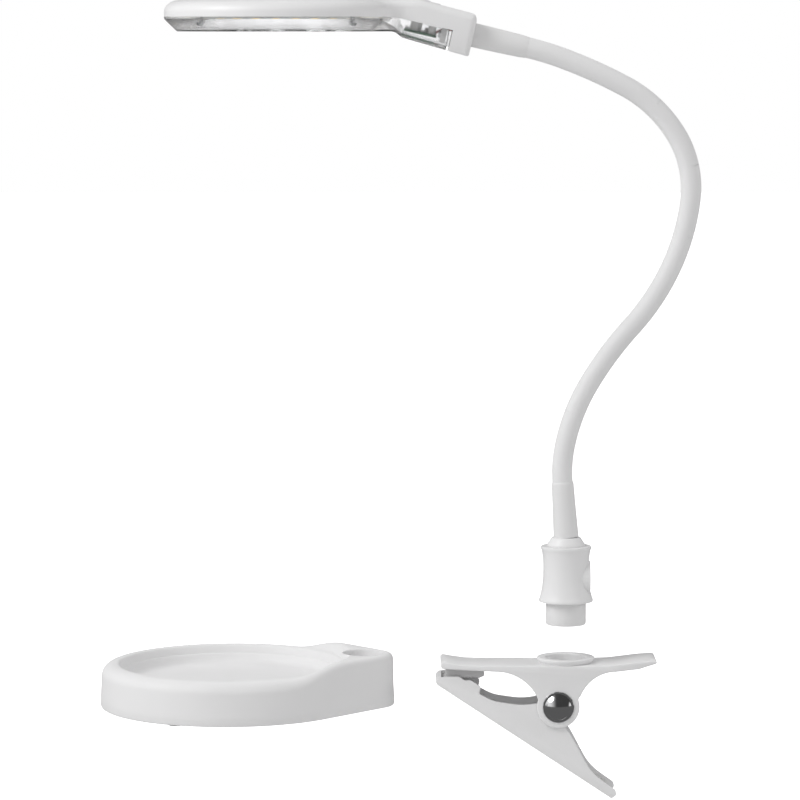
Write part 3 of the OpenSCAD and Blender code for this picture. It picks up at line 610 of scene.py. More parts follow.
def buildFloor(s):
    # seen directly it is white; it lights the lamp as a pale floor and mirrors dark
    bm = bmesh.new()
    bmesh.ops.create_grid(bm, x_segments=1, y_segments=1, size=s["floorSize"])
    floor = linkMesh("floor", bm)
    floor.data.transform(Matrix.Translation((0, 0, s["floor"])))
    paint = bpy.data.materials.new("floorPaint")
    paint.use_nodes = True
    tree = paint.node_tree
    shader = tree.nodes["Principled BSDF"]
    shader.inputs["Base Color"].default_value = (s["floorTone"], s["floorTone"], s["floorTone"], 1)
    shader.inputs["Roughness"].default_value = 0.9
    pale = tree.nodes.new("ShaderNodeBsdfPrincipled")
    pale.inputs["Base Color"].default_value = (0.9, 0.9, 0.9, 1)
    pale.inputs["Roughness"].default_value = 0.9
    pale.inputs["Emission Color"].default_value = (1, 1, 1, 1)
    pale.inputs["Emission Strength"].default_value = s["floorGlow"]
    dim = tree.nodes.new("ShaderNodeEmission")
    dim.inputs["Color"].default_value = (1, 1, 1, 1)
    dim.inputs["Strength"].default_value = s["floorMirror"]
    path, direct = seenDirectly(tree)
    mirror = pickShader(tree, path.outputs["Is Glossy Ray"], shader.outputs["BSDF"], dim.outputs["Emission"])
    surface = pickShader(tree, direct, mirror, pale.outputs["BSDF"])
    tree.links.new(surface, tree.nodes["Material Output"].inputs["Surface"])
    floor.data.materials.append(paint)


def buildWorld(s):
    world = bpy.data.worlds.new("studio")
    world.use_nodes = True
    tree = world.node_tree
    ambient = tree.nodes["Background"]
    ambient.inputs["Strength"].default_value = 1.0
    coords = tree.nodes.new("ShaderNodeTexCoord")
    split = tree.nodes.new("ShaderNodeSeparateXYZ")
    tree.links.new(coords.outputs["Generated"], split.inputs["Vector"])

    def blendTone(source, low, high, a, b):
        # tone a to tone b as a direction component runs from low to high
        span = addNode(tree, "ShaderNodeMapRange", interpolation_type="SMOOTHSTEP")
        span.inputs["From Min"].default_value = low
        span.inputs["From Max"].default_value = high
        tree.links.new(source, span.inputs["Value"])
        mix = addNode(tree, "ShaderNodeMix", data_type="FLOAT")
        tree.links.new(span.outputs["Result"], mix.inputs["Factor"])
        for socket, value in ((mix.inputs["A"], a), (mix.inputs["B"], b)):
            if isinstance(value, float):
                socket.default_value = value
            else:
                tree.links.new(value, socket)
        return mix.outputs["Result"]

    upright = blendTone(split.outputs["Z"], -0.5, 0.9, s["below"], s["overhead"])
    level = blendTone(split.outputs["Y"], -0.85, -0.35, s["front"], s["side"])
    level = blendTone(split.outputs["Y"], -0.2, 0.8, level, s["behind"])
    steep = addNode(tree, "ShaderNodeMath", operation="ABSOLUTE")
    tree.links.new(split.outputs["Z"], steep.inputs[0])
    tone = blendTone(steep.outputs["Value"], 0.25, 0.8, level, upright)
    # polished parts mirror a dark room with one bright window to the left
    mirror = blendTone(split.outputs["X"], -0.95, -0.15, s["window"], s["room"])
    mirror = blendTone(split.outputs["X"], 0.93, 0.99, mirror, s["window"])
    path, direct = seenDirectly(tree)
    tone = blendTone(path.outputs["Is Glossy Ray"], 0.0, 1.0, tone, mirror)
    tree.links.new(tone, ambient.inputs["Color"])
    seen = tree.nodes.new("ShaderNodeBackground")
    seen.inputs["Color"].default_value = (1, 1, 1, 1)
    seen.inputs["Strength"].default_value = s["backdrop"]
    surface = pickShader(tree, direct, ambient.outputs["Background"], seen.outputs["Background"])
    tree.links.new(surface, tree.nodes["World Output"].inputs["Surface"])
    bpy.context.scene.world = world


def buildLamps(s):
    for name, place, size, power in s["lamps"]:
        lamp = bpy.data.lights.new(name, "AREA")
        lamp.shape = "DISK"
        lamp.size = size
        lamp.energy = power
        holder = bpy.data.objects.new(name, lamp)
        bpy.context.scene.collection.objects.link(holder)
        holder.location = place
        holder.visible_glossy = name == "keyLight"
        holder.rotation_euler = (Vector(s["aim"]) - Vector(place)).to_track_quat("-Z", "Y").to_euler()


buildCamera(stageSettings)
buildFloor(stageSettings)
buildWorld(stageSettings)
buildLamps(stageSettings)
bpy.context.scene.view_settings.view_transform = "Standard"
print("stage ready")


# gooseneck

gooseneck = {"turns": [15, 20, 11, -17, -18, -39, -30, -8, -7], "linkLength": 38.5, "radius": 5.65,
             "foot": (56, 77.4), "lean": -4, "lowFerrule": 31, "topFerrule": 30.5, "sides": 48,
             "tuck": 1.0, "bendReach": 15.0}


def turned(p, a):
    a = math.radians(a)
    return (p[0] * math.cos(a) + p[1] * math.sin(a), -p[0] * math.sin(a) + p[1] * math.cos(a))


def neckRoute(s):
    # end points with headings, and a function that gives a point part way along any length
    count = len(s["turns"])
    step = turned((0, s["lowFerrule"]), s["lean"])
    nodes = [(s["foot"][0] + step[0], s["foot"][1] + step[1], s["lean"])]

    def along(i, t):
        x, z, heading = nodes[i]
        length = s["linkLength"] / 2 if i in (0, count - 1) else s["linkLength"]
        turn = s["turns"][i]
        r = length / math.radians(turn)
        swept = math.radians(turn * t)
        dx, dz = turned((r * (1 - math.cos(swept)), r * math.sin(swept)), heading)
        return x + dx, z + dz, heading + turn * t

    for i in range(count):
        nodes.append(along(i, 1.0))
    return nodes, along


neckNodes, neckAlong = neckRoute(gooseneck)


def buildGooseneck(s):
    last = len(s["turns"]) - 1
    for k in range(1, last + 1):
        points = []
        low = 0.0 if k == 1 else 0.5
        high = 1.0 if k == last else 0.5
        if k == 1:
            x, z, h = neckNodes[0]
            back = turned((0, -s["tuck"]), h)
            points.append((x + back[0], 0, z + back[1]))
        for i in range(13):
            x, z, _ = neckAlong(k - 1, low + (1 - low) * i / 12)
            points.append((x, 0, z))
        for i in range(1, 13):
            x, z, _ = neckAlong(k, high * i / 12)
            points.append((x, 0, z))
        if k == last:
            x, z, h = neckNodes[-1]
            on = turned((0, s["tuck"]), h)
            points.append((x + on[0], 0, z + on[1]))
        sleeve = tube("sleeve.%d" % k, points, s["radius"], "satinWhite", s["sides"])
        wear(sleeve, "satinWhite")
        x, z, h = neckNodes[k]
        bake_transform(sleeve)
        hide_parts("sleeve_%d" % k)
        if k == last:
            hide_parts("sleeve_%d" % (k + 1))


buildGooseneck(gooseneck)

# each ferrule's outline, from its wide end
ferrules = {"low": [(0, 0), (6.9, 0), (6.9, 0.4), (6.75, 6), (6.35, 18), (6.15, 27), (6.1, 29.2), (5.95, 30.2),
                    (5.6, 30.9), (5.3, 31), (0, 31)],
            "top": [(0, 0), (6.6, 0), (6.55, 6), (6.35, 18), (6.1, 27.4), (6.0, 28.3), (5.86, 28.9), (5.86, 29.9),
                    (5.7, 30.5), (5.3, 30.5), (0, 30.5)]}
footX, footZ = gooseneck["foot"]
lowAxis = turned((0, 1), gooseneck["lean"])
lowPlace = placed((footX, 0, footZ), (lowAxis[0], 0, lowAxis[1]))
lowFerrule = revolve("lowerFerrule", ferrules["low"], lowPlace, 96)
putOn(lowFerrule, "warmWhite", "white_abs", "connector", "lower_ferrule")
tipX, tipZ, tipHeading = neckNodes[-1]
topAxis = turned((0, 1), tipHeading)
ferruleEnd = (tipX + topAxis[0] * gooseneck["topFerrule"], tipZ + topAxis[1] * gooseneck["topFerrule"])
topFerrule = revolve("upperFerrule", ferrules["top"],
                     placed((ferruleEnd[0], 0, ferruleEnd[1]), (-topAxis[0], 0, -topAxis[1])), 96)
putOn(topFerrule, "warmWhite", "white_abs", "head", "upper_ferrule")
print("gooseneck done")


# head

head = {"bend": (-39.334, 363.795), "radius": 62.7, "neckHalf": 15, "fillet": 12, "neckLength": 44.5,
        "tilt": 13, "shellHeight": 9.1, "round": 4.4, "ringRound": 9.0, "ringDrop": 6.4, "coverDepth": 8,
        "coverBevel": 6.8, "neckBevel": 2.4,
        "wall": 1.8, "hole": 44.6, "seat": 47.1, "channel": 48.4, "brow": 12.5, "endHeight": 11.3,
        "blockAt": 33.0, "chinDepth": 9.9, "endDepth": 12.0, "cornerRound": 3.2,
        "rockerAt": 18.4, "rockerHalf": (5.8, 3.3), "lensSeat": 1.34}


def neckCentre(s):
    # side view of the parting line: level over the ring, then down the neck
    table = [(0.0, 0.0)]
    step = 0.25
    x = z = 0.0
    for i in range(int((s["neckLength"] + 4) / step)):
        a = math.radians(s["tilt"]) * smoothStep((i + 0.5) * step - 3.0, -3.0, 3.0)
        x += step * math.cos(a)
        z -= step * math.sin(a)
        table.append((x, z))
    return table, step


neckTable, neckStep = neckCentre(head)


def bent(x, y, z):
    # head's straight layout to its place in the lamp
    s = head
    run = x + 3.0
    if run <= 0:
        px, pz, lean = x, 0.0, 0.0
    else:
        i = min(int(run / neckStep), len(neckTable) - 2)
        t = run / neckStep - i
        a, b = neckTable[i], neckTable[i + 1]
        px = -3.0 + a[0] + (b[0] - a[0]) * t
        pz = a[1] + (b[1] - a[1]) * t
        lean = math.radians(s["tilt"]) * smoothStep(x, -3.0, 14.0)
    return Vector((s["bend"][0] + px + z * math.sin(lean), y, s["bend"][1] + pz + z * math.cos(lean)))


def topHeight(x):
    # height of the shell's top over the parting line
    s = head
    if x <= 0:
        return s["shellHeight"]
    tilt = math.radians(s["tilt"])
    crown = (s["shellHeight"] - (bent(x, 0, 0).z - s["bend"][1])) / math.cos(tilt * smoothStep(x, -3, 14))
    brow = (s["shellHeight"] - (bent(s["brow"], 0, 0).z - s["bend"][1])) / math.cos(tilt)
    slope = brow + (s["endHeight"] - brow) * max(0, x - s["brow"]) / (s["neckLength"] - s["brow"])
    t = smoothStep(x, s["brow"] - 3, s["brow"] + 3)
    return crown * (1 - t) + slope * t


def lowDepth(x):
    # depth of the underside below the parting line
    s = head
    chin = s["coverDepth"] + (s["chinDepth"] - s["coverDepth"]) * smoothStep(x, 0, 6)
    return chin + (s["endDepth"] - s["chinDepth"]) * max(0, x - 4) / (s["neckLength"] - 4)


def headOutline(s, end, corner, ringIn=0.0, neckIn=0.0, endIn=0.0):
    # plan of ring and neck, anticlockwise, filleted where they meet; the last three values draw it in
    r, half = s["radius"] - ringIn, s["neckHalf"] - neckIn
    f = s["fillet"] + 0.5 * (ringIn + neckIn)
    corner = max(corner - neckIn, 0.3)
    end -= endIn
    mid = -s["radius"]
    fx = math.sqrt((r + f) ** 2 - (half + f) ** 2)
    joinAngle = math.degrees(math.atan2(half + f, fx))
    steps = 150
    out = arcPoints(mid, 0, r, joinAngle, 360 - joinAngle, steps)
    lower = arcPoints(mid + fx, -(half + f), f, 180 - joinAngle, 90, 8)[1:]
    x0, x1 = mid + fx, end - corner
    lower += [(x0 + (x1 - x0) * i / 12, -half) for i in range(1, 13)]
    lower += arcPoints(x1, -half + corner, corner, -90, 0, 6)[1:]
    out += lower
    out += [(end, (-1 + 2 * i / 8) * (half - corner)) for i in range(1, 8)]
    return out + [(x, -y) for x, y in reversed(lower)]


def circleLoop(cx, cy, r, steps=150):
    turns = [2 * math.pi * i / steps for i in range(steps)]
    return [(cx + r * math.cos(a), cy + r * math.sin(a)) for a in turns]


def addLoop(bm, loop, height):
    return [bm.verts.new(bent(x, y, height(x, y) if callable(height) else height)) for x, y in loop]


def inRing(x, y, r):
    return (x + head["radius"]) ** 2 + y ** 2 < r ** 2


def withKeys(verts, loop):
    return [(v, x, y) for v, (x, y) in zip(verts, loop)]


def neckGrid(bm, x0, x1, half, height, skip=None):
    # inner points that let a flat fill follow the bend of the neck
    extra = []
    clear = 50.5
    x = x0
    while x <= x1:
        for y in (-half, -half / 2, 0.0, half / 2, half):
            if inRing(x, y, clear):
                continue
            if skip and skip(x, y):
                continue
            extra.append((bm.verts.new(bent(x, y, height(x, y))), x, y))
        x += 1.6 if x < 15 else 4.0
    return extra


def buildHeadShell(s):
    r = s["radius"]
    bm = bmesh.new()
    rr = s["round"]
    top = lambda x, y: topHeight(x)
    loops = []
    base = headOutline(s, s["neckLength"], s["cornerRound"])
    loops.append(addLoop(bm, base, 0.0))
    loops.append(addLoop(bm, base, lambda x, y: 0.35))
    loops.append(addLoop(bm, base, lambda x, y: 0.5 * (topHeight(x) - s["ringDrop"])))
    drop = lambda x: rr + (s["ringDrop"] - rr) * (1 - smoothStep(x, -14, 4))
    for i in range(13):
        a = math.radians(90 * i / 12)
        d = 1 - math.cos(a)
        flat = headOutline(s, s["neckLength"], s["cornerRound"], s["ringRound"] * d, rr * d, 0.7 * rr * d)
        loops.append(addLoop(bm, flat, lambda x, y, a=a: topHeight(x) - drop(x) * (1 - math.sin(a))))
    for a, b in zip(loops, loops[1:]):
        strip(bm, a, b)
    topLoop = flat
    # rim of the lens opening
    hole = []
    profile = [(s["hole"] + 1.5, s["shellHeight"]), (s["hole"] + 0.75, s["shellHeight"] - 0.2),
               (s["hole"] + 0.2, s["shellHeight"] - 0.75), (s["hole"], s["shellHeight"] - 1.5),
               (s["hole"], s["lensSeat"]), (s["seat"], s["lensSeat"]), (s["seat"], 0.0)]
    for pr, pz in profile:
        hole.append(addLoop(bm, circleLoop(-r, 0, pr), pz))
    for a, b in zip(hole, hole[1:]):
        strip(bm, a, b)
    # well for the rocker
    wx, wy = s["rockerHalf"]
    cx = s["rockerAt"]
    well = softCorners([(cx - wx, -wy), (cx + wx, -wy), (cx + wx, wy), (cx - wx, wy)], 1.0, 3)
    wellTop = addLoop(bm, well, top)
    wellLow = addLoop(bm, well, lambda x, y: topHeight(x) - 2.6)
    strip(bm, wellTop, wellLow)
    bm.faces.new(wellLow)
    nearWell = lambda x, y: abs(x - cx) < wx + 0.5 and abs(y) < wy + 0.5
    extra = neckGrid(bm, -13, s["neckLength"] - rr - 1.0, 8.0, top, nearWell)
    inWell = lambda x, y: abs(x - cx) < wx - 0.02 and abs(y) < wy - 0.02
    rimR = profile[0][0]
    rim = withKeys(hole[0], circleLoop(-r, 0, rimR))
    fillFlat(bm, [withKeys(loops[-1], topLoop), rim, withKeys(wellTop, well)], extra,
             lambda x, y: not inRing(x, y, rimR - 0.05) and not inWell(x, y))
    # room inside: wall, ceiling, and the channel's inner wall
    w = s["wall"]
    room = lambda d: headOutline(s, s["blockAt"], s["cornerRound"], d, d, d - w)
    roomPlan = room(w)

    def roof(x, y):
        return topHeight(x) - w if x < 0 else max(topHeight(x) - w - 1.3 * smoothStep(x, 2, 8), 3)

    roomLow = addLoop(bm, roomPlan, 0.0)
    roomTop = addLoop(bm, roomPlan, lambda x, y: roof(x, y) - 1.2 - 2.2 * (1 - smoothStep(x, -14, 4)))
    innerPlan = headOutline(s, s["blockAt"], s["cornerRound"], w + 4.2, w + 1.2, 1.2)
    roomEdge = addLoop(bm, innerPlan, roof)
    strip(bm, roomLow, roomTop)
    strip(bm, roomTop, roomEdge)
    channel = circleLoop(-r, 0, s["channel"])
    channelLow = addLoop(bm, channel, 0.0)
    channelTop = addLoop(bm, channel, s["shellHeight"] - w)
    strip(bm, channelLow, channelTop)
    extra = neckGrid(bm, -12, s["blockAt"] - 3, 7.5, roof)
    fillFlat(bm, [withKeys(roomEdge, innerPlan), withKeys(channelTop, channel)], extra,
             lambda x, y: not inRing(x, y, s["channel"] - 0.05))
    # lips at the parting line
    across = (-10.0, -5.0, 0.0, 5.0, 10.0)
    extra = [(bm.verts.new(bent(x, y, 0.0)), x, y) for x in (37.0, 40.5) for y in across]
    fillFlat(bm, [withKeys(loops[0], base), withKeys(roomLow, roomPlan)], extra,
             lambda x, y: not inLoop(x, y, roomPlan))
    strip(bm, channelLow, hole[-1])
    # solid end block under the parting line
    def blockPlan(d):
        half, x1 = s["neckHalf"] - d, s["neckLength"] - d
        c = s["cornerRound"] - d
        return ([(s["blockAt"] + d, -half)] + arcPoints(x1 - c, -half + c, c, -90, 0, 6)
                + arcPoints(x1 - c, half - c, c, 0, 90, 6) + [(s["blockAt"] + d, half)])

    levels = []
    for depth, d in ((0, 0), (0.5, 0), (1.0, 0), (None, 0), (None, 0.25), (None, 0.85)):
        shape = blockPlan(d)
        if depth is None:
            drop = {0: 1.0, 0.25: 0.35, 0.85: 0.0}[d]
            levels.append((addLoop(bm, shape, lambda x, y: -(lowDepth(x) - drop)), shape))
        else:
            levels.append((addLoop(bm, shape, -depth), shape))
    for (a, _), (b, _) in zip(levels, levels[1:]):
        strip(bm, a, b)
    bm.faces.new(levels[-1][0])
    bm.faces.new(list(reversed(levels[0][0])))
    return linkMesh("headShell", bm, 38)


def inLoop(x, y, loop):
    inside = False
    n = len(loop)
    for i in range(n):
        (x1, y1), (x2, y2) = loop[i], loop[(i + 1) % n]
        if (y1 > y) != (y2 > y) and x < (x2 - x1) * (y - y1) / (y2 - y1) + x1:
            inside = not inside
    return inside


def buildCover(s):
    r = s["radius"]
    bm = bmesh.new()
    end = s["blockAt"] - 0.1
    bevel = lambda x: s["neckBevel"] + (s["coverBevel"] - s["neckBevel"]) * (1 - smoothStep(x, -9, 3))

    def level(t, extraInset, lift):
        # t runs down the bevel from 0 to 1
        ringIn = s["coverBevel"] * t + extraInset
        neckIn = s["neckBevel"] * t + extraInset
        plan = headOutline(s, end, 0.6, ringIn, neckIn, extraInset)
        if t == 0:
            return plan, lambda x, y: lift
        return plan, lambda x, y: -(lowDepth(x) - (1 - t) * bevel(x)) + lift

    loops = []
    outside = ((0, 0, -0.06), (0, 0, -0.9), (0.06, 0, 0), (0.5, 0, 0), (0.94, 0, 0.12), (1, 0.25, 0))
    for t, extraInset, lift in outside:
        plan, height = level(t, extraInset, lift)
        loops.append((addLoop(bm, plan, height), plan))
    for (a, _), (b, _) in zip(loops, loops[1:]):
        strip(bm, a, b)
    profile = [(s["hole"] + 1.2, -s["coverDepth"]), (s["hole"] + 0.4, -s["coverDepth"] + 0.35),
               (s["hole"], -s["coverDepth"] + 1.1), (s["hole"], -s["lensSeat"]), (s["seat"], -s["lensSeat"]),
               (s["seat"], -0.06), (s["channel"], -0.06), (s["channel"], -s["coverDepth"] + s["wall"])]
    rings = [(addLoop(bm, circleLoop(-r, 0, pr), pz), circleLoop(-r, 0, pr)) for pr, pz in profile]
    for (a, _), (b, _) in zip(rings, rings[1:]):
        strip(bm, a, b)
    under = lambda x, y: -lowDepth(x)
    fillFlat(bm, [withKeys(*loops[-1]), withKeys(*rings[0])],
             neckGrid(bm, -12, end - 3.5, 7.5, under), lambda x, y: not inRing(x, y, s["hole"] + 1.15))
    w = s["wall"]
    inner = []
    for t, extraInset, lift in ((0, w, -0.06), (0, w, -0.9), (1, w - 0.6, w)):
        plan, height = level(t, extraInset, lift)
        inner.append((addLoop(bm, plan, height), plan))
    for (a, _), (b, _) in zip(inner, inner[1:]):
        strip(bm, a, b)
    floorHeight = lambda x, y: -lowDepth(x) + w
    fillFlat(bm, [withKeys(*inner[-1]), withKeys(*rings[-1])],
             neckGrid(bm, -12, end - 5.0, 7.0, floorHeight),
             lambda x, y: not inRing(x, y, s["channel"] - 0.05))
    strip(bm, loops[0][0], inner[0][0])
    return linkMesh("clearCover", bm, 25)


headShell = buildHeadShell(head)
putOn(headShell, "glossWhite", "white_abs", "head", "head_shell")
clearCover = buildCover(head)
putOn(clearCover, "clearPlastic", "clear_cover", "head", "clear_cover")
print("head shell and cover done")

lensLow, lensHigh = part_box("lens")
lensMid = (lensLow + lensHigh) / 2 / mm
lens = {"radius": 47, "half": 4.0, "curve": 400, "steps": 20}


def buildLens(s):
    face = []
    for i in range(s["steps"] + 1):
        q = s["radius"] * i / s["steps"]
        face.append((q, s["half"] - (s["curve"] - math.sqrt(s["curve"] ** 2 - q ** 2))))
    outline = [(q, -z) for q, z in face] + [(q, z) for q, z in reversed(face)]
    return revolve("lensGlass", outline, Matrix.Translation(lensMid), 160)


putOn(buildLens(lens), "lensGlass", "lens", "head", "lens")

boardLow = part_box("led_board")[0]
ledSettings = {"count": 30, "ring": 51.3, "size": (2.8, 3.5, 0.8), "drop": 0.42}


def smallLed(s):
    # square package with a domed yellow window
    bm = bmesh.new()
    bmesh.ops.create_cube(bm, size=1.0)
    bmesh.ops.scale(bm, vec=s["size"], verts=bm.verts)
    bmesh.ops.bevel(bm, geom=list(bm.edges), offset=0.12, segments=1, affect="EDGES")
    body = linkMesh("ledBody", bm)
    dome = revolve("ledDome", [(1.1, -0.38), (0.95, -0.6), (0.5, -0.72), (0, -0.76)], None, 16)
    return joinObjects("ledShape", [body, dome])


ledPoints, ledTurns = [], []
for ledIndex in range(ledSettings["count"]):
    ledAngle = (ledIndex + 0.5) * 2 * math.pi / ledSettings["count"]
    ledPoints.append((lensMid.x + ledSettings["ring"] * math.cos(ledAngle),
                      ledSettings["ring"] * math.sin(ledAngle), boardLow.z / mm - ledSettings["drop"]))
    ledTurns.append((0, 0, ledAngle))
# the LED finish carries a painted glint as a faint glow
ledRing = onPoints("ledRing", smallLed(ledSettings), ledPoints, ledTurns, "ledPhosphorPaintedGlint")
putOn(ledRing, "ledPhosphorPaintedGlint", "led_yellow", "head", "leds")


def screwShape(headRadius, headHeight, length, shank):
    # pan head with a cross recess
    outline = [(0, -length), (shank, -length), (shank, 0), (headRadius - 0.15, 0), (headRadius, 0.2),
               (headRadius * 0.93, headHeight * 0.6), (headRadius * 0.62, headHeight), (0, headHeight)]
    screw = revolve("screwBody", outline, None, 24)
    for turn in (0, 90):
        bm = bmesh.new()
        bmesh.ops.create_cube(bm, size=1.0)
        bmesh.ops.scale(bm, vec=(headRadius * 1.1, 0.42, headHeight), verts=bm.verts)
        bmesh.ops.translate(bm, vec=(0, 0, headHeight), verts=bm.verts)
        bmesh.ops.rotate(bm, verts=bm.verts, matrix=Matrix.Rotation(math.radians(turn), 3, "Z"))
        cutOrJoin(screw, linkMesh("slot", bm), "DIFFERENCE")
    return screw


def screwSet(name, points, turns, size, slotName, body, *nodes):
    obj = onPoints(name, screwShape(*size), points, turns, "plainSteel")
    putOn(obj, "plainSteel", slotName, body, *nodes)
    return obj


coverScrews = {"ring": 57, "drop": 2.9, "angles": (45, 135, 225, 315), "size": (2.1, 1.3, 8.0, 1.15)}
ringPoints = []
for postAngle in coverScrews["angles"]:
    a = math.radians(postAngle)
    ringPoints.append((lensMid.x + coverScrews["ring"] * math.cos(a), coverScrews["ring"] * math.sin(a),
                       head["bend"][1] - coverScrews["drop"]))
screwSet("coverScrews", ringPoints, [(math.pi, 0, 0.4 * i) for i in range(4)], coverScrews["size"],
         "steel", "head", "cover_screws")

rocker = {"at": 18.4, "half": (5.2, 2.9), "rise": 1.4}


def buildRocker(s):
    # top dished between its raised and its pressed end
    hx, hy = s["half"]
    cx = s["at"]
    local = [(-hx, s["rise"] + 0.5), (-hx + 0.5, s["rise"] + 0.75), (-hx * 0.5, s["rise"] * 0.45 + 0.45),
             (0, 0.35), (hx * 0.5, 0.3), (hx - 0.5, 0.35), (hx, 0.1), (hx - 0.3, -1.2), (1.4, -2.4),
             (-1.4, -2.4), (-hx + 0.1, -0.8)]
    bm = bmesh.new()
    sides = []
    for y, shrink in ((-hy, 0.25), (-hy + 0.25, 0.0), (hy - 0.25, 0.0), (hy, 0.25)):
        row = []
        for x, z in local:
            p = bent(cx + x * (1 - shrink * 0.06), y, topHeight(cx) + z * (1 - shrink * 0.1))
            row.append(bm.verts.new(p))
        sides.append(row)
    for a, b in zip(sides, sides[1:]):
        strip(bm, a, b)
    bm.faces.new(sides[0])
    bm.faces.new(list(reversed(sides[-1])))
    obj = linkMesh("rocker", bm)
    return rounded(obj, 0.25, 2, 25)


putOn(buildRocker(rocker), "glossWhite", "white_abs", "switch", "switch_rocker")
print("head done")


# connector and plug

connector = {"x": 56, "low": 41.4, "height": 31, "rim": 15, "waist": 12.5, "boss": 9.5, "bossAt": 54.42,
             "bossFace": 69.3, "bossLength": 13.3, "bore": 5.25, "recess": 12.85, "recessDepth": 2.62}


def buildConnector(s):
    h = s["height"]
    rim, waist = s["rim"], s["waist"]
    outline = [(0, 0), (rim - 0.5, 0), (rim - 0.12, 0.15), (rim, 0.6), (rim, 1.3)]
    for i in range(25):
        t = i / 24
        z = 2.0 + t * (h - 4.2)
        outline.append((waist + (rim - waist - 0.35) * (1 - t) ** 4 + (rim - 1.1 - waist - 0.35) * t ** 6, z))
    top = rim - 1.1
    outline += [(top, h - 1.6), (top, h - 0.6), (top - 0.15, h - 0.15), (top - 0.6, h), (0, h)]
    body = revolve("connectorShell", outline, Matrix.Translation((s["x"], 0, s["low"])), 128)
    sideways = placed((s["x"], 0, s["bossAt"]), (1, 0, 0))
    cutOrJoin(body, rod("boss", s["boss"], 0, s["bossLength"], sideways, 96), "UNION")
    face = s["bossFace"] - s["x"]
    dishOutline = [(0, face - 2.2), (s["boss"] - 1.7, face - 2.2), (s["boss"] - 1.3, face + 2), (0, face + 2)]
    cutOrJoin(body, revolve("dish", dishOutline, sideways, 96), "DIFFERENCE")
    fromInside = placed((s["x"] + 1, 0, s["bossAt"]), (1, 0, 0))
    cutOrJoin(body, rod("bore", s["bore"], 0, 30, fromInside, 64), "DIFFERENCE")
    upright = Matrix.Translation((s["x"], 0, s["low"]))
    cutOrJoin(body, rod("recess", s["recess"], -1, s["recessDepth"], upright, 128), "DIFFERENCE")
    return rounded(body, 0.4, 3, 32)


putOn(buildConnector(connector), "glossWhite", "white_abs", "connector", "connector_shell")
capProfile = [(0, 0), (10.4, 0), (10.55, 0.3), (10.45, 0.9), (9.4, 2.6), (8.5, 3.9), (8.2, 4.4), (7.9, 4.7),
              (7.4, 4.85), (0, 4.85)]
capPlace = Matrix.Translation((connector["x"], 0, connector["low"] + connector["height"]))
connectorCap = revolve("connectorCap", capProfile, capPlace, 96)
putOn(connectorCap, "glossWhite", "white_abs", "connector", "connector_cap")
baseScrews = {"out": 8.7, "sunk": 1.0, "size": (2.0, 0.95, 6, 1.1)}
screwSet("baseScrews", [(connector["x"], side * baseScrews["out"], connector["low"] + baseScrews["sunk"])
                        for side in (-1, 1)], [(math.pi, 0, 0.3), (math.pi, 0, 1.2)],
         baseScrews["size"], "steel", "connector", "connector_screws")
plugProfile = [(4.4, 17.9), (4.4, 12.65), (10.9, 12.6), (11.1, 12.45), (11.15, 12.2), (11.15, 1.2),
               (10.95, 0.45), (10.5, 0.1), (9.9, 0), (9.1, 0.05), (8.8, 0.35), (8.75, 0.9), (8.75, 10.1),
               (8.4, 10.3), (4.5, 10.3), (4.5, 0.4), (4.2, 0), (2.3, 0), (2.0, 0.3), (2.0, 17.6), (2.3, 17.9)]
plugFoot = 28.5
plugPlace = Matrix.Translation((connector["x"], 0, plugFoot))
putOn(revolve("plugStub", plugProfile, plugPlace, 128, closed=True), "warmWhite", "warm_white",
      "plug", "plug_stub")
print("connector done")


# clip

clip = {"half": 15, "wall": 1.8, "pivot": (51.5, -15.5), "ear": 11.8, "lowerHalf": 12.9, "slope": 33.4,
        "lowerTip": (-15.4, -3.4), "lowerLength": 96.6, "lowerEar": 8.8, "pinHole": 3.05, "cupHole": 13.05,
        "skirt": 4.1,
        # each arc by its centre's distance from the pivot, its radius and how far it runs
        "throatArc": (-34.3, 25, 24.0), "rearArc": (32, 21, -20.6)}


def arcBetween(cx, cz, r, x0, x1, steps, under=False):
    # points on the upper or lower half of a circle between two x values
    out = []
    for i in range(steps + 1):
        x = x0 + (x1 - x0) * i / steps
        z = math.sqrt(max(0, r * r - (x - cx) ** 2))
        out.append((x, cz - z if under else cz + z))
    return out


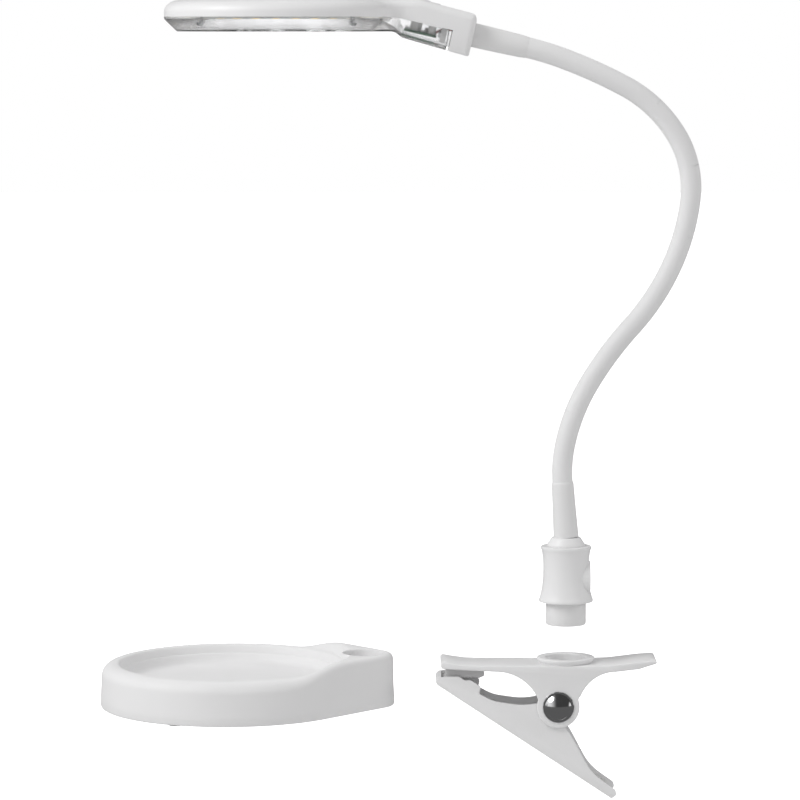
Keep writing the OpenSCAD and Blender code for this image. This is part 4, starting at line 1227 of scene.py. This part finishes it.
def buildUpperJaw(s):
    px, pz = s["pivot"]

    def offEar(points):
        return [p for p in points if math.hypot(p[0] - px, p[1] - pz) > s["ear"] + 0.4]

    def aroundPivot(p):
        return math.degrees(math.atan2(p[1] - pz, p[0] - px)) % 360

    # front web: down the throat arc to the ear, round the ear, up the rear arc
    at, r, run = s["throatArc"]
    throat = offEar(arcBetween(px + at, s["skirt"] - r, r, px + at, px + at + run, 18))
    at, r, run = s["rearArc"]
    rear = offEar(arcBetween(px + at, s["skirt"] - r, r, px + at + run, px + at, 18))
    sweepStart = aroundPivot(throat[-1])
    sweepEnd = aroundPivot(rear[0])
    if sweepEnd < sweepStart:
        sweepEnd += 360
    ear = arcPoints(px, pz, s["ear"], sweepStart, sweepEnd, 40)
    low = [(-12.7, 5.75), (-2, 5.1)] + throat + ear[1:-1] + rear + [(96, 5.6), (105.4, 8.6)]
    top = [(106.0, 9.2), (105.6, 9.9), (104.4, 10.35), (103.0, 10.3), (96, 9.75), (88, 8.75), (79.5, 7.75),
           (72, 7.5), (6.5, 7.5), (0, 7.75), (-7, 8.7), (-11.8, 9.55), (-12.8, 9.5), (-13.4, 8.9), (-13.5, 8.0),
           (-13.3, 6.6)]
    body = plate("upperJaw", low + top, -s["half"], s["half"])
    rounded(body, 0.9, 3, 40)
    w = s["wall"]
    roof = [(-11.6, 6.9), (-6, 6.3), (0, 5.7), (6.5, 5.5), (72, 5.5), (79.5, 5.75), (88, 6.75), (96, 7.75),
            (101, 8.3), (107, 8.7)]
    inner = plate("inner", roof + [(112, -60), (-11.6, -60)], -s["half"] + w, s["half"] - w)
    cutOrJoin(body, inner, "DIFFERENCE")
    cutOrJoin(body, crossPin("pinHole", px, pz, s["pinHole"], -20, 20), "DIFFERENCE")
    cupHole = rod("cupHole", s["cupHole"], 3, 12, Matrix.Translation((connector["x"], 0, 0)), 96)
    cutOrJoin(body, cupHole, "DIFFERENCE")
    return body


upperJaw = buildUpperJaw(clip)
upperJaw.data.set_sharp_from_angle(angle=math.radians(32))
putOn(upperJaw, "glossWhite", "white_abs", "clip_upper", "upper_jaw")

cupProfile = [(14.7, 7.45), (15.5, 8.6), (15.95, 9.5), (15.97, 9.95), (15.8, 10.3), (15.4, 10.5), (12.3, 10.5),
              (11.6, 10.3), (11.25, 9.8), (11.23, 9.4), (11.23, -2.9), (0, -2.9), (0, -4.3), (12.6, -4.3),
              (12.9, -4.0), (12.9, 7.5)]
cupPlace = Matrix.Translation((connector["x"], 0, 0))
putOn(revolve("socketCup", cupProfile, cupPlace, 128), "glossWhite", "white_abs", "clip_upper", "socket_cup")


def lowerOutline(s):
    px, pz = s["pivot"]
    down = math.tan(math.radians(s["slope"]))
    tx, tz = s["lowerTip"]
    ex, ez = tx + s["lowerLength"], tz - s["lowerLength"] * down
    raw = [(tx, tz), (-16.4, -1.6), (-14.8, 0.4), (-11.3, 1.0), (-3.3, 1.2), (0, -1.2), (2.8, -0.7), (8.8, -4.5),
           (7.7, -8.4), (16, -12.8), (31.9, -15), (px - 9, pz + 2)]
    tail = [(px + 6.3, pz - 14.3), (px + 18.4, pz - 37.4), (px + 32.0, pz - 46.9), (ex + 2.9, ez + 2.0),
            (ex, ez)]
    softness = [0.8, 0.8, 1.2, 2, 1.6, 1.6, 1.4, 1.4, 1.2, 4, 8, 0.1, 6, 8, 2, 1.6, 0.6]
    return softCorners(raw + tail, softness, 4)


def buildLowerJaw(s):
    px, pz = s["pivot"]
    outline = lowerOutline(s)
    half = s["lowerHalf"]
    body = plate("lowerJaw", outline, -half, half)
    ear = crossPin("ear", px, pz, s["lowerEar"], -half, half, 96)
    cutOrJoin(body, ear, "UNION")
    rounded(body, 0.5, 3, 40)
    down = math.tan(math.radians(s["slope"]))
    up = s["wall"] / math.cos(math.radians(s["slope"]))
    tx, tz = s["lowerTip"]
    room = [(tx + 2.8, tz + up - 2.8 * down), (tx + 110, tz + up - 110 * down), (tx + 110, 40), (-13.0, 40),
            (-13.0, 0)]
    inner = plate("inner", room, -half + s["wall"], half - s["wall"])
    cutOrJoin(body, inner, "DIFFERENCE")
    cutOrJoin(body, crossPin("pinHole", px, pz, s["pinHole"], -20, 20), "DIFFERENCE")
    return body


lowerJaw = buildLowerJaw(clip)
lowerJaw.data.set_sharp_from_angle(angle=math.radians(32))
putOn(lowerJaw, "glossWhite", "white_abs", "clip_lower", "lower_jaw")


pads = {"half": 10.1, "ribPitch": 1.9}


def buildPads(s):
    half = s["half"]
    under = [(-10.5, 0.0)]
    x = -8.9
    while x < 7.0:
        under += [(x - 0.62, 0.0), (x - 0.45, 0.42), (x, 0.58), (x + 0.45, 0.42), (x + 0.62, 0.0)]
        x += s["ribPitch"]
    upper = under + [(8.0, 0.0), (10.7, 1.2), (10.7, 4.7), (6.5, 5.42), (-10.5, 6.4)]
    padUp = rounded(plate("upperPad", upper, -half, half), 0.22, 2, 40)
    putOn(padUp, "gripRubber", "grip_rubber", "clip_upper", "upper_pad")
    lower = [(-12.4, -0.35)]
    x = -11.2
    while x < -4.2:
        lower += [(x - 0.5, -0.35), (x - 0.35, -0.72), (x, -0.85), (x + 0.35, -0.72), (x + 0.5, -0.35)]
        x += s["ribPitch"]
    lower += [(-3.4, -0.35), (-3.4, -8.3), (-12.4, -2.7)]
    padLow = rounded(plate("lowerPad", lower, -half, half), 0.2, 2, 40)
    putOn(padLow, "gripRubber", "grip_rubber", "clip_lower", "lower_pad")


buildPads(pads)

rivet = {"radius": 7.5, "height": 3.4, "shank": 3.0, "washer": 8.7, "washerThick": 0.8}


def buildRivets(s):
    px, pz = clip["pivot"]
    ball = (s["radius"] ** 2 + s["height"] ** 2) / (2 * s["height"])
    span = math.degrees(math.asin(s["radius"] / ball))
    turns = [math.radians(span * i / 20) for i in range(20)]
    dome = [(ball * math.sin(a), s["height"] - ball + ball * math.cos(a)) for a in turns]
    dome += [(s["radius"] - 0.02, 0.22), (s["radius"], 0.0), (0, 0)]
    near = revolve("domeNear", dome, placed((px, -clip["half"] - s["washerThick"], pz), (0, -1, 0)), 96)
    shank = crossPin("shank", px, pz, s["shank"], -clip["half"] - 0.5, clip["half"] + 0.5)
    putOn(joinObjects("pivotRivet", [near, shank]), "chromed", "chrome", "clip_upper", "pivot_rivet")
    far = revolve("rivetCap", dome, placed((px, clip["half"] + s["washerThick"], pz), (0, 1, 0)), 96)
    putOn(far, "chromed", "chrome", "clip_upper", "rivet_cap")
    hole, thick = clip["pinHole"], s["washerThick"]
    r = s["washer"]
    ring = [(hole, 0), (r - 0.1, 0), (r, 0.15), (r, 0.5), (r - 0.25, thick), (hole, thick)]
    washers = [revolve("washer", ring, placed((px, side * clip["half"], pz), (0, side, 0)), 96, closed=True)
               for side in (-1, 1)]
    putOn(joinObjects("rivetWashers", washers), "chromed", "steel", "clip_upper", "rivet_washers")


buildRivets(rivet)

spring = {"radius": 5.4, "wire": 1.0, "turns": 5, "pitch": 2.15}


def buildSpring(s):
    # one leg under the upper plate, five coils round the rivet, one leg along the lower jaw
    px, pz = clip["pivot"]
    width = s["turns"] * s["pitch"]
    points = []
    first = math.radians(180)
    total = s["turns"] * 2 * math.pi + math.radians(22)
    steps = s["turns"] * 28
    for i in range(steps + 1):
        a = first + total * i / steps
        y = -width / 2 + width * i / steps
        points.append((px + s["radius"] * math.cos(a), y, pz + s["radius"] * math.sin(a)))
    start = Vector(points[0])
    upLeg = [start + Vector((-0.42, 0, 0.9)).normalized() * d for d in (13.5, 9, 5, 2, 0.7)]
    stop = Vector(points[-1])
    downLeg = [stop + Vector((-0.34, 0, -0.94)).normalized() * d for d in (0.7, 2.5, 5.0, 7.6)]
    obj = tube("torsionSpring", upLeg + points + downLeg, s["wire"], "springSteel", 14)
    wear(obj, "springSteel")
    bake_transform(obj)
    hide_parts("torsion_spring")


buildSpring(spring)

grip = {"at": 67.5, "length": 14, "ribs": 7}


def buildThumbGrip(s):
    tx, tz = clip["lowerTip"]
    a = math.radians(clip["slope"])
    inner = clip["lowerHalf"] - clip["wall"] - 0.06
    x0 = s["at"]
    z0 = tz + (clip["wall"] + 0.05) / math.cos(a) - (x0 - tx) * math.tan(a)
    profile = [(0, 0), (s["length"], 0), (s["length"], 0.9)]
    n = s["ribs"]
    pitch = s["length"] / n
    for i in range(n - 1, -1, -1):
        mid = (i + 0.5) * pitch
        for k in range(7):
            t = math.radians(180 * k / 6)
            profile.append((mid + 0.7 * math.cos(t), 0.9 + 0.75 * math.sin(t)))
    profile.append((0, 0.9))
    world = [(x0 + x * math.cos(a) + z * math.sin(a), z0 - x * math.sin(a) + z * math.cos(a))
             for x, z in profile]
    obj = rounded(plate("thumbGrip", world, -inner, inner), 0.12, 2, 50)
    putOn(obj, "panelWhite", "white_panel", "clip_lower", "thumb_grip")


buildThumbGrip(grip)
print("clip done")


# desk stand

stand = {"x": -130, "z": -16.5, "radius": 72, "dish": 61.5, "dishDepth": 10.6, "height": 24, "nose": 17,
         "reach": 74, "noseHeight": 29.2, "socket": 11.23, "socketDepth": 13.4, "wall": 2.4, "inset": 1.6,
         "shoulderIn": 7.6, "shoulderDown": 7.0, "noseIn": 3.2, "noseDown": 4.0}


def standOutline(s, big, small, steps=140):
    # round body run out on tangents to the nose, anticlockwise, with outward normals
    lean = math.asin((big - small) / s["reach"])
    out = []
    a0 = math.pi / 2 - lean
    for i in range(steps + 1):
        a = a0 + (2 * math.pi - 2 * a0) * i / steps
        out.append((big * math.cos(a), big * math.sin(a), math.cos(a), math.sin(a)))
    low = Vector((big * math.cos(-a0), big * math.sin(-a0)))
    high = Vector((s["reach"] + small * math.cos(-a0), small * math.sin(-a0)))
    for i in range(1, 12):
        p = low.lerp(high, i / 12)
        out.append((p.x, p.y, math.cos(-a0), math.sin(-a0)))
    for i in range(25):
        a = -a0 + 2 * a0 * i / 24
        out.append((s["reach"] + small * math.cos(a), small * math.sin(a), math.cos(a), math.sin(a)))
    for i in range(11, 0, -1):
        p = low.lerp(high, i / 12)
        out.append((p.x, -p.y, math.cos(a0), math.sin(a0)))
    return out


def inset(outline, d):
    return [(x - nx * d, y - ny * d) for x, y, nx, ny in outline]


def standTop(x, y):
    s = stand
    rise = smoothStep(x, 34, 62) * smoothStep(math.hypot(x, y), 62.5, 68)
    return s["height"] + (s["noseHeight"] - s["height"]) * rise


def buildStand(s):
    bm = bmesh.new()
    outline = standOutline(s, s["radius"], s["nose"])

    def put(plan, height):
        heights = [height(x, y) if callable(height) else height for x, y in plan]
        return [bm.verts.new((s["x"] + x, y, s["z"] + z)) for (x, y), z in zip(plan, heights)]

    loops = []
    # wall leans in a little, then a broad shoulder up to the rim
    for d, z in ((0.9, 0.0), (0.35, 0.35), (0.0, 1.2), (0.1, 6.0), (0.45, 11.5)):
        plan = inset(outline, d)
        loops.append((put(plan, z), plan))
    nearNose = lambda x: smoothStep(x, 40, 66)
    for i in range(11):
        a = math.radians(90 * i / 10)
        plan = []
        for x, y, nx, ny in outline:
            reach = s["shoulderIn"] * (1 - nearNose(x)) + s["noseIn"] * nearNose(x)
            d = 0.6 + reach * (1 - math.cos(a)) * 0.95
            plan.append((x - nx * d, y - ny * d))
        fall = lambda x: s["shoulderDown"] * (1 - nearNose(x)) + s["noseDown"] * nearNose(x)
        top = lambda x, y, a=a: standTop(x, y) - fall(x) * (1 - math.sin(a))
        loops.append((put(plan, top), plan))
    for (a, _), (b, _) in zip(loops, loops[1:]):
        strip(bm, a, b)
    d = s["dish"]
    h = s["height"]
    dishProfile = [(d + 1.5, h), (d + 0.7, h - 0.12), (d + 0.1, h - 0.6), (d - 0.35, h - 1.5), (d - 0.9, h - 3.4),
                   (d - 1.2, h - 4.7), (d - 1.6, h - 4.95), (d - 1.95, h - 5.4), (d - 2.6, h - 7.2),
                   (d - 3.5, h - 8.8), (d - 5.0, h - 9.9), (d - 7.2, h - 10.4), (d - 10, h - s["dishDepth"])]
    dishRings = []
    for pr, pz in dishProfile:
        plan = circleLoop(0, 0, pr, 160)
        dishRings.append((put(plan, pz), plan))
    for (a, _), (b, _) in zip(dishRings, dishRings[1:]):
        strip(bm, a, b)
    # dish floor in rings so that it shades evenly
    inner = dishRings[-1][0]
    for pr in (44, 30, 15):
        ring = put(circleLoop(0, 0, pr, 160), h - s["dishDepth"])
        strip(bm, inner, ring)
        inner = ring
    bm.faces.new(inner)
    sx = s["reach"]
    rimR = s["socket"]
    socketProfile = [(rimR + 1.0, 0), (rimR + 0.35, -0.25), (rimR + 0.02, -0.9), (rimR, -s["socketDepth"]),
                     (rimR - 1.5, -s["socketDepth"])]
    socketRings = []
    for pr, pz in socketProfile:
        plan = circleLoop(sx, 0, pr, 72)
        socketRings.append((put(plan, s["noseHeight"] + pz), plan))
    for (a, _), (b, _) in zip(socketRings, socketRings[1:]):
        strip(bm, a, b)
    bm.faces.new(socketRings[-1][0])
    extra = []
    shrunk = [(px + (sx - px) * 0.012, py * 0.985) for px, py in loops[-1][1]]
    for ring in range(1, 5):
        pr = d + 1.5 + (sx - 3 - d - 1.5) * ring / 6
        for i in range(160):
            a = 2 * math.pi * (i + 0.5 * (ring % 2)) / 160
            x, y = pr * math.cos(a), pr * math.sin(a)
            inside = x > 20 and inLoop(x, y, shrunk)
            clear = math.hypot(x - sx, y) > rimR + 1.6
            if inside and clear:
                extra.append((put([(x, y)], standTop)[0], x, y))
    fillFlat(bm, [withKeys(*loops[-1]), withKeys(*dishRings[0]), withKeys(*socketRings[0])], extra,
             lambda x, y: math.hypot(x, y) > d + 1.45 and math.hypot(x - sx, y) > rimR + 0.95)
    # recess underneath that takes the bottom plate
    planIn = [(x, y) for x, y, _, _ in standOutline(s, s["radius"] - s["inset"], s["nose"] - s["inset"])]
    recessLow = put(planIn, 0.0)
    recessTop = put(planIn, s["wall"])
    strip(bm, recessLow, recessTop)
    bm.faces.new(recessTop)
    strip(bm, loops[0][0], recessLow)
    return linkMesh("standShell", bm, 34)


putOn(buildStand(stand), "satinWhite", "white_abs", "stand", "stand_shell")

foot = {"radius": 5.5, "height": 1.4, "ring": 61.5, "angles": (36, 116, 244, 324)}


def buildFeet(s):
    z = stand["z"]
    r, low = s["radius"], -s["height"]
    outline = [(0, 0.2), (r - 0.1, 0.2), (r, 0), (r - 0.05, -0.5), (r - 0.5, low + 0.15), (r - 0.9, low),
               (3.2, low), (2.7, low + 0.35), (0, low + 0.4)]
    shape = revolve("footShape", outline, None, 48)
    points = []
    for a in map(math.radians, s["angles"]):
        points.append((stand["x"] + s["ring"] * math.cos(a), s["ring"] * math.sin(a), z))
    feet = onPoints("standFeet", shape, points, [(0, 0, 0)] * 4, "footRubber")
    putOn(feet, "footRubber", "black_rubber", "stand", "stand_feet")


buildFeet(foot)
standScrews = {"ring": 59.5, "sunk": 0.95, "angles": (60, 180, 300), "size": (2.1, 1.0, 6.5, 1.15)}
standScrewPoints = [(stand["x"] + standScrews["ring"] * math.cos(a), standScrews["ring"] * math.sin(a),
                     stand["z"] + standScrews["sunk"]) for a in map(math.radians, standScrews["angles"])]
screwSet("standScrews", standScrewPoints, [(math.pi, 0, 0.5 * i) for i in range(3)], standScrews["size"],
         "steel", "stand", "stand_screws")
print("stand done")
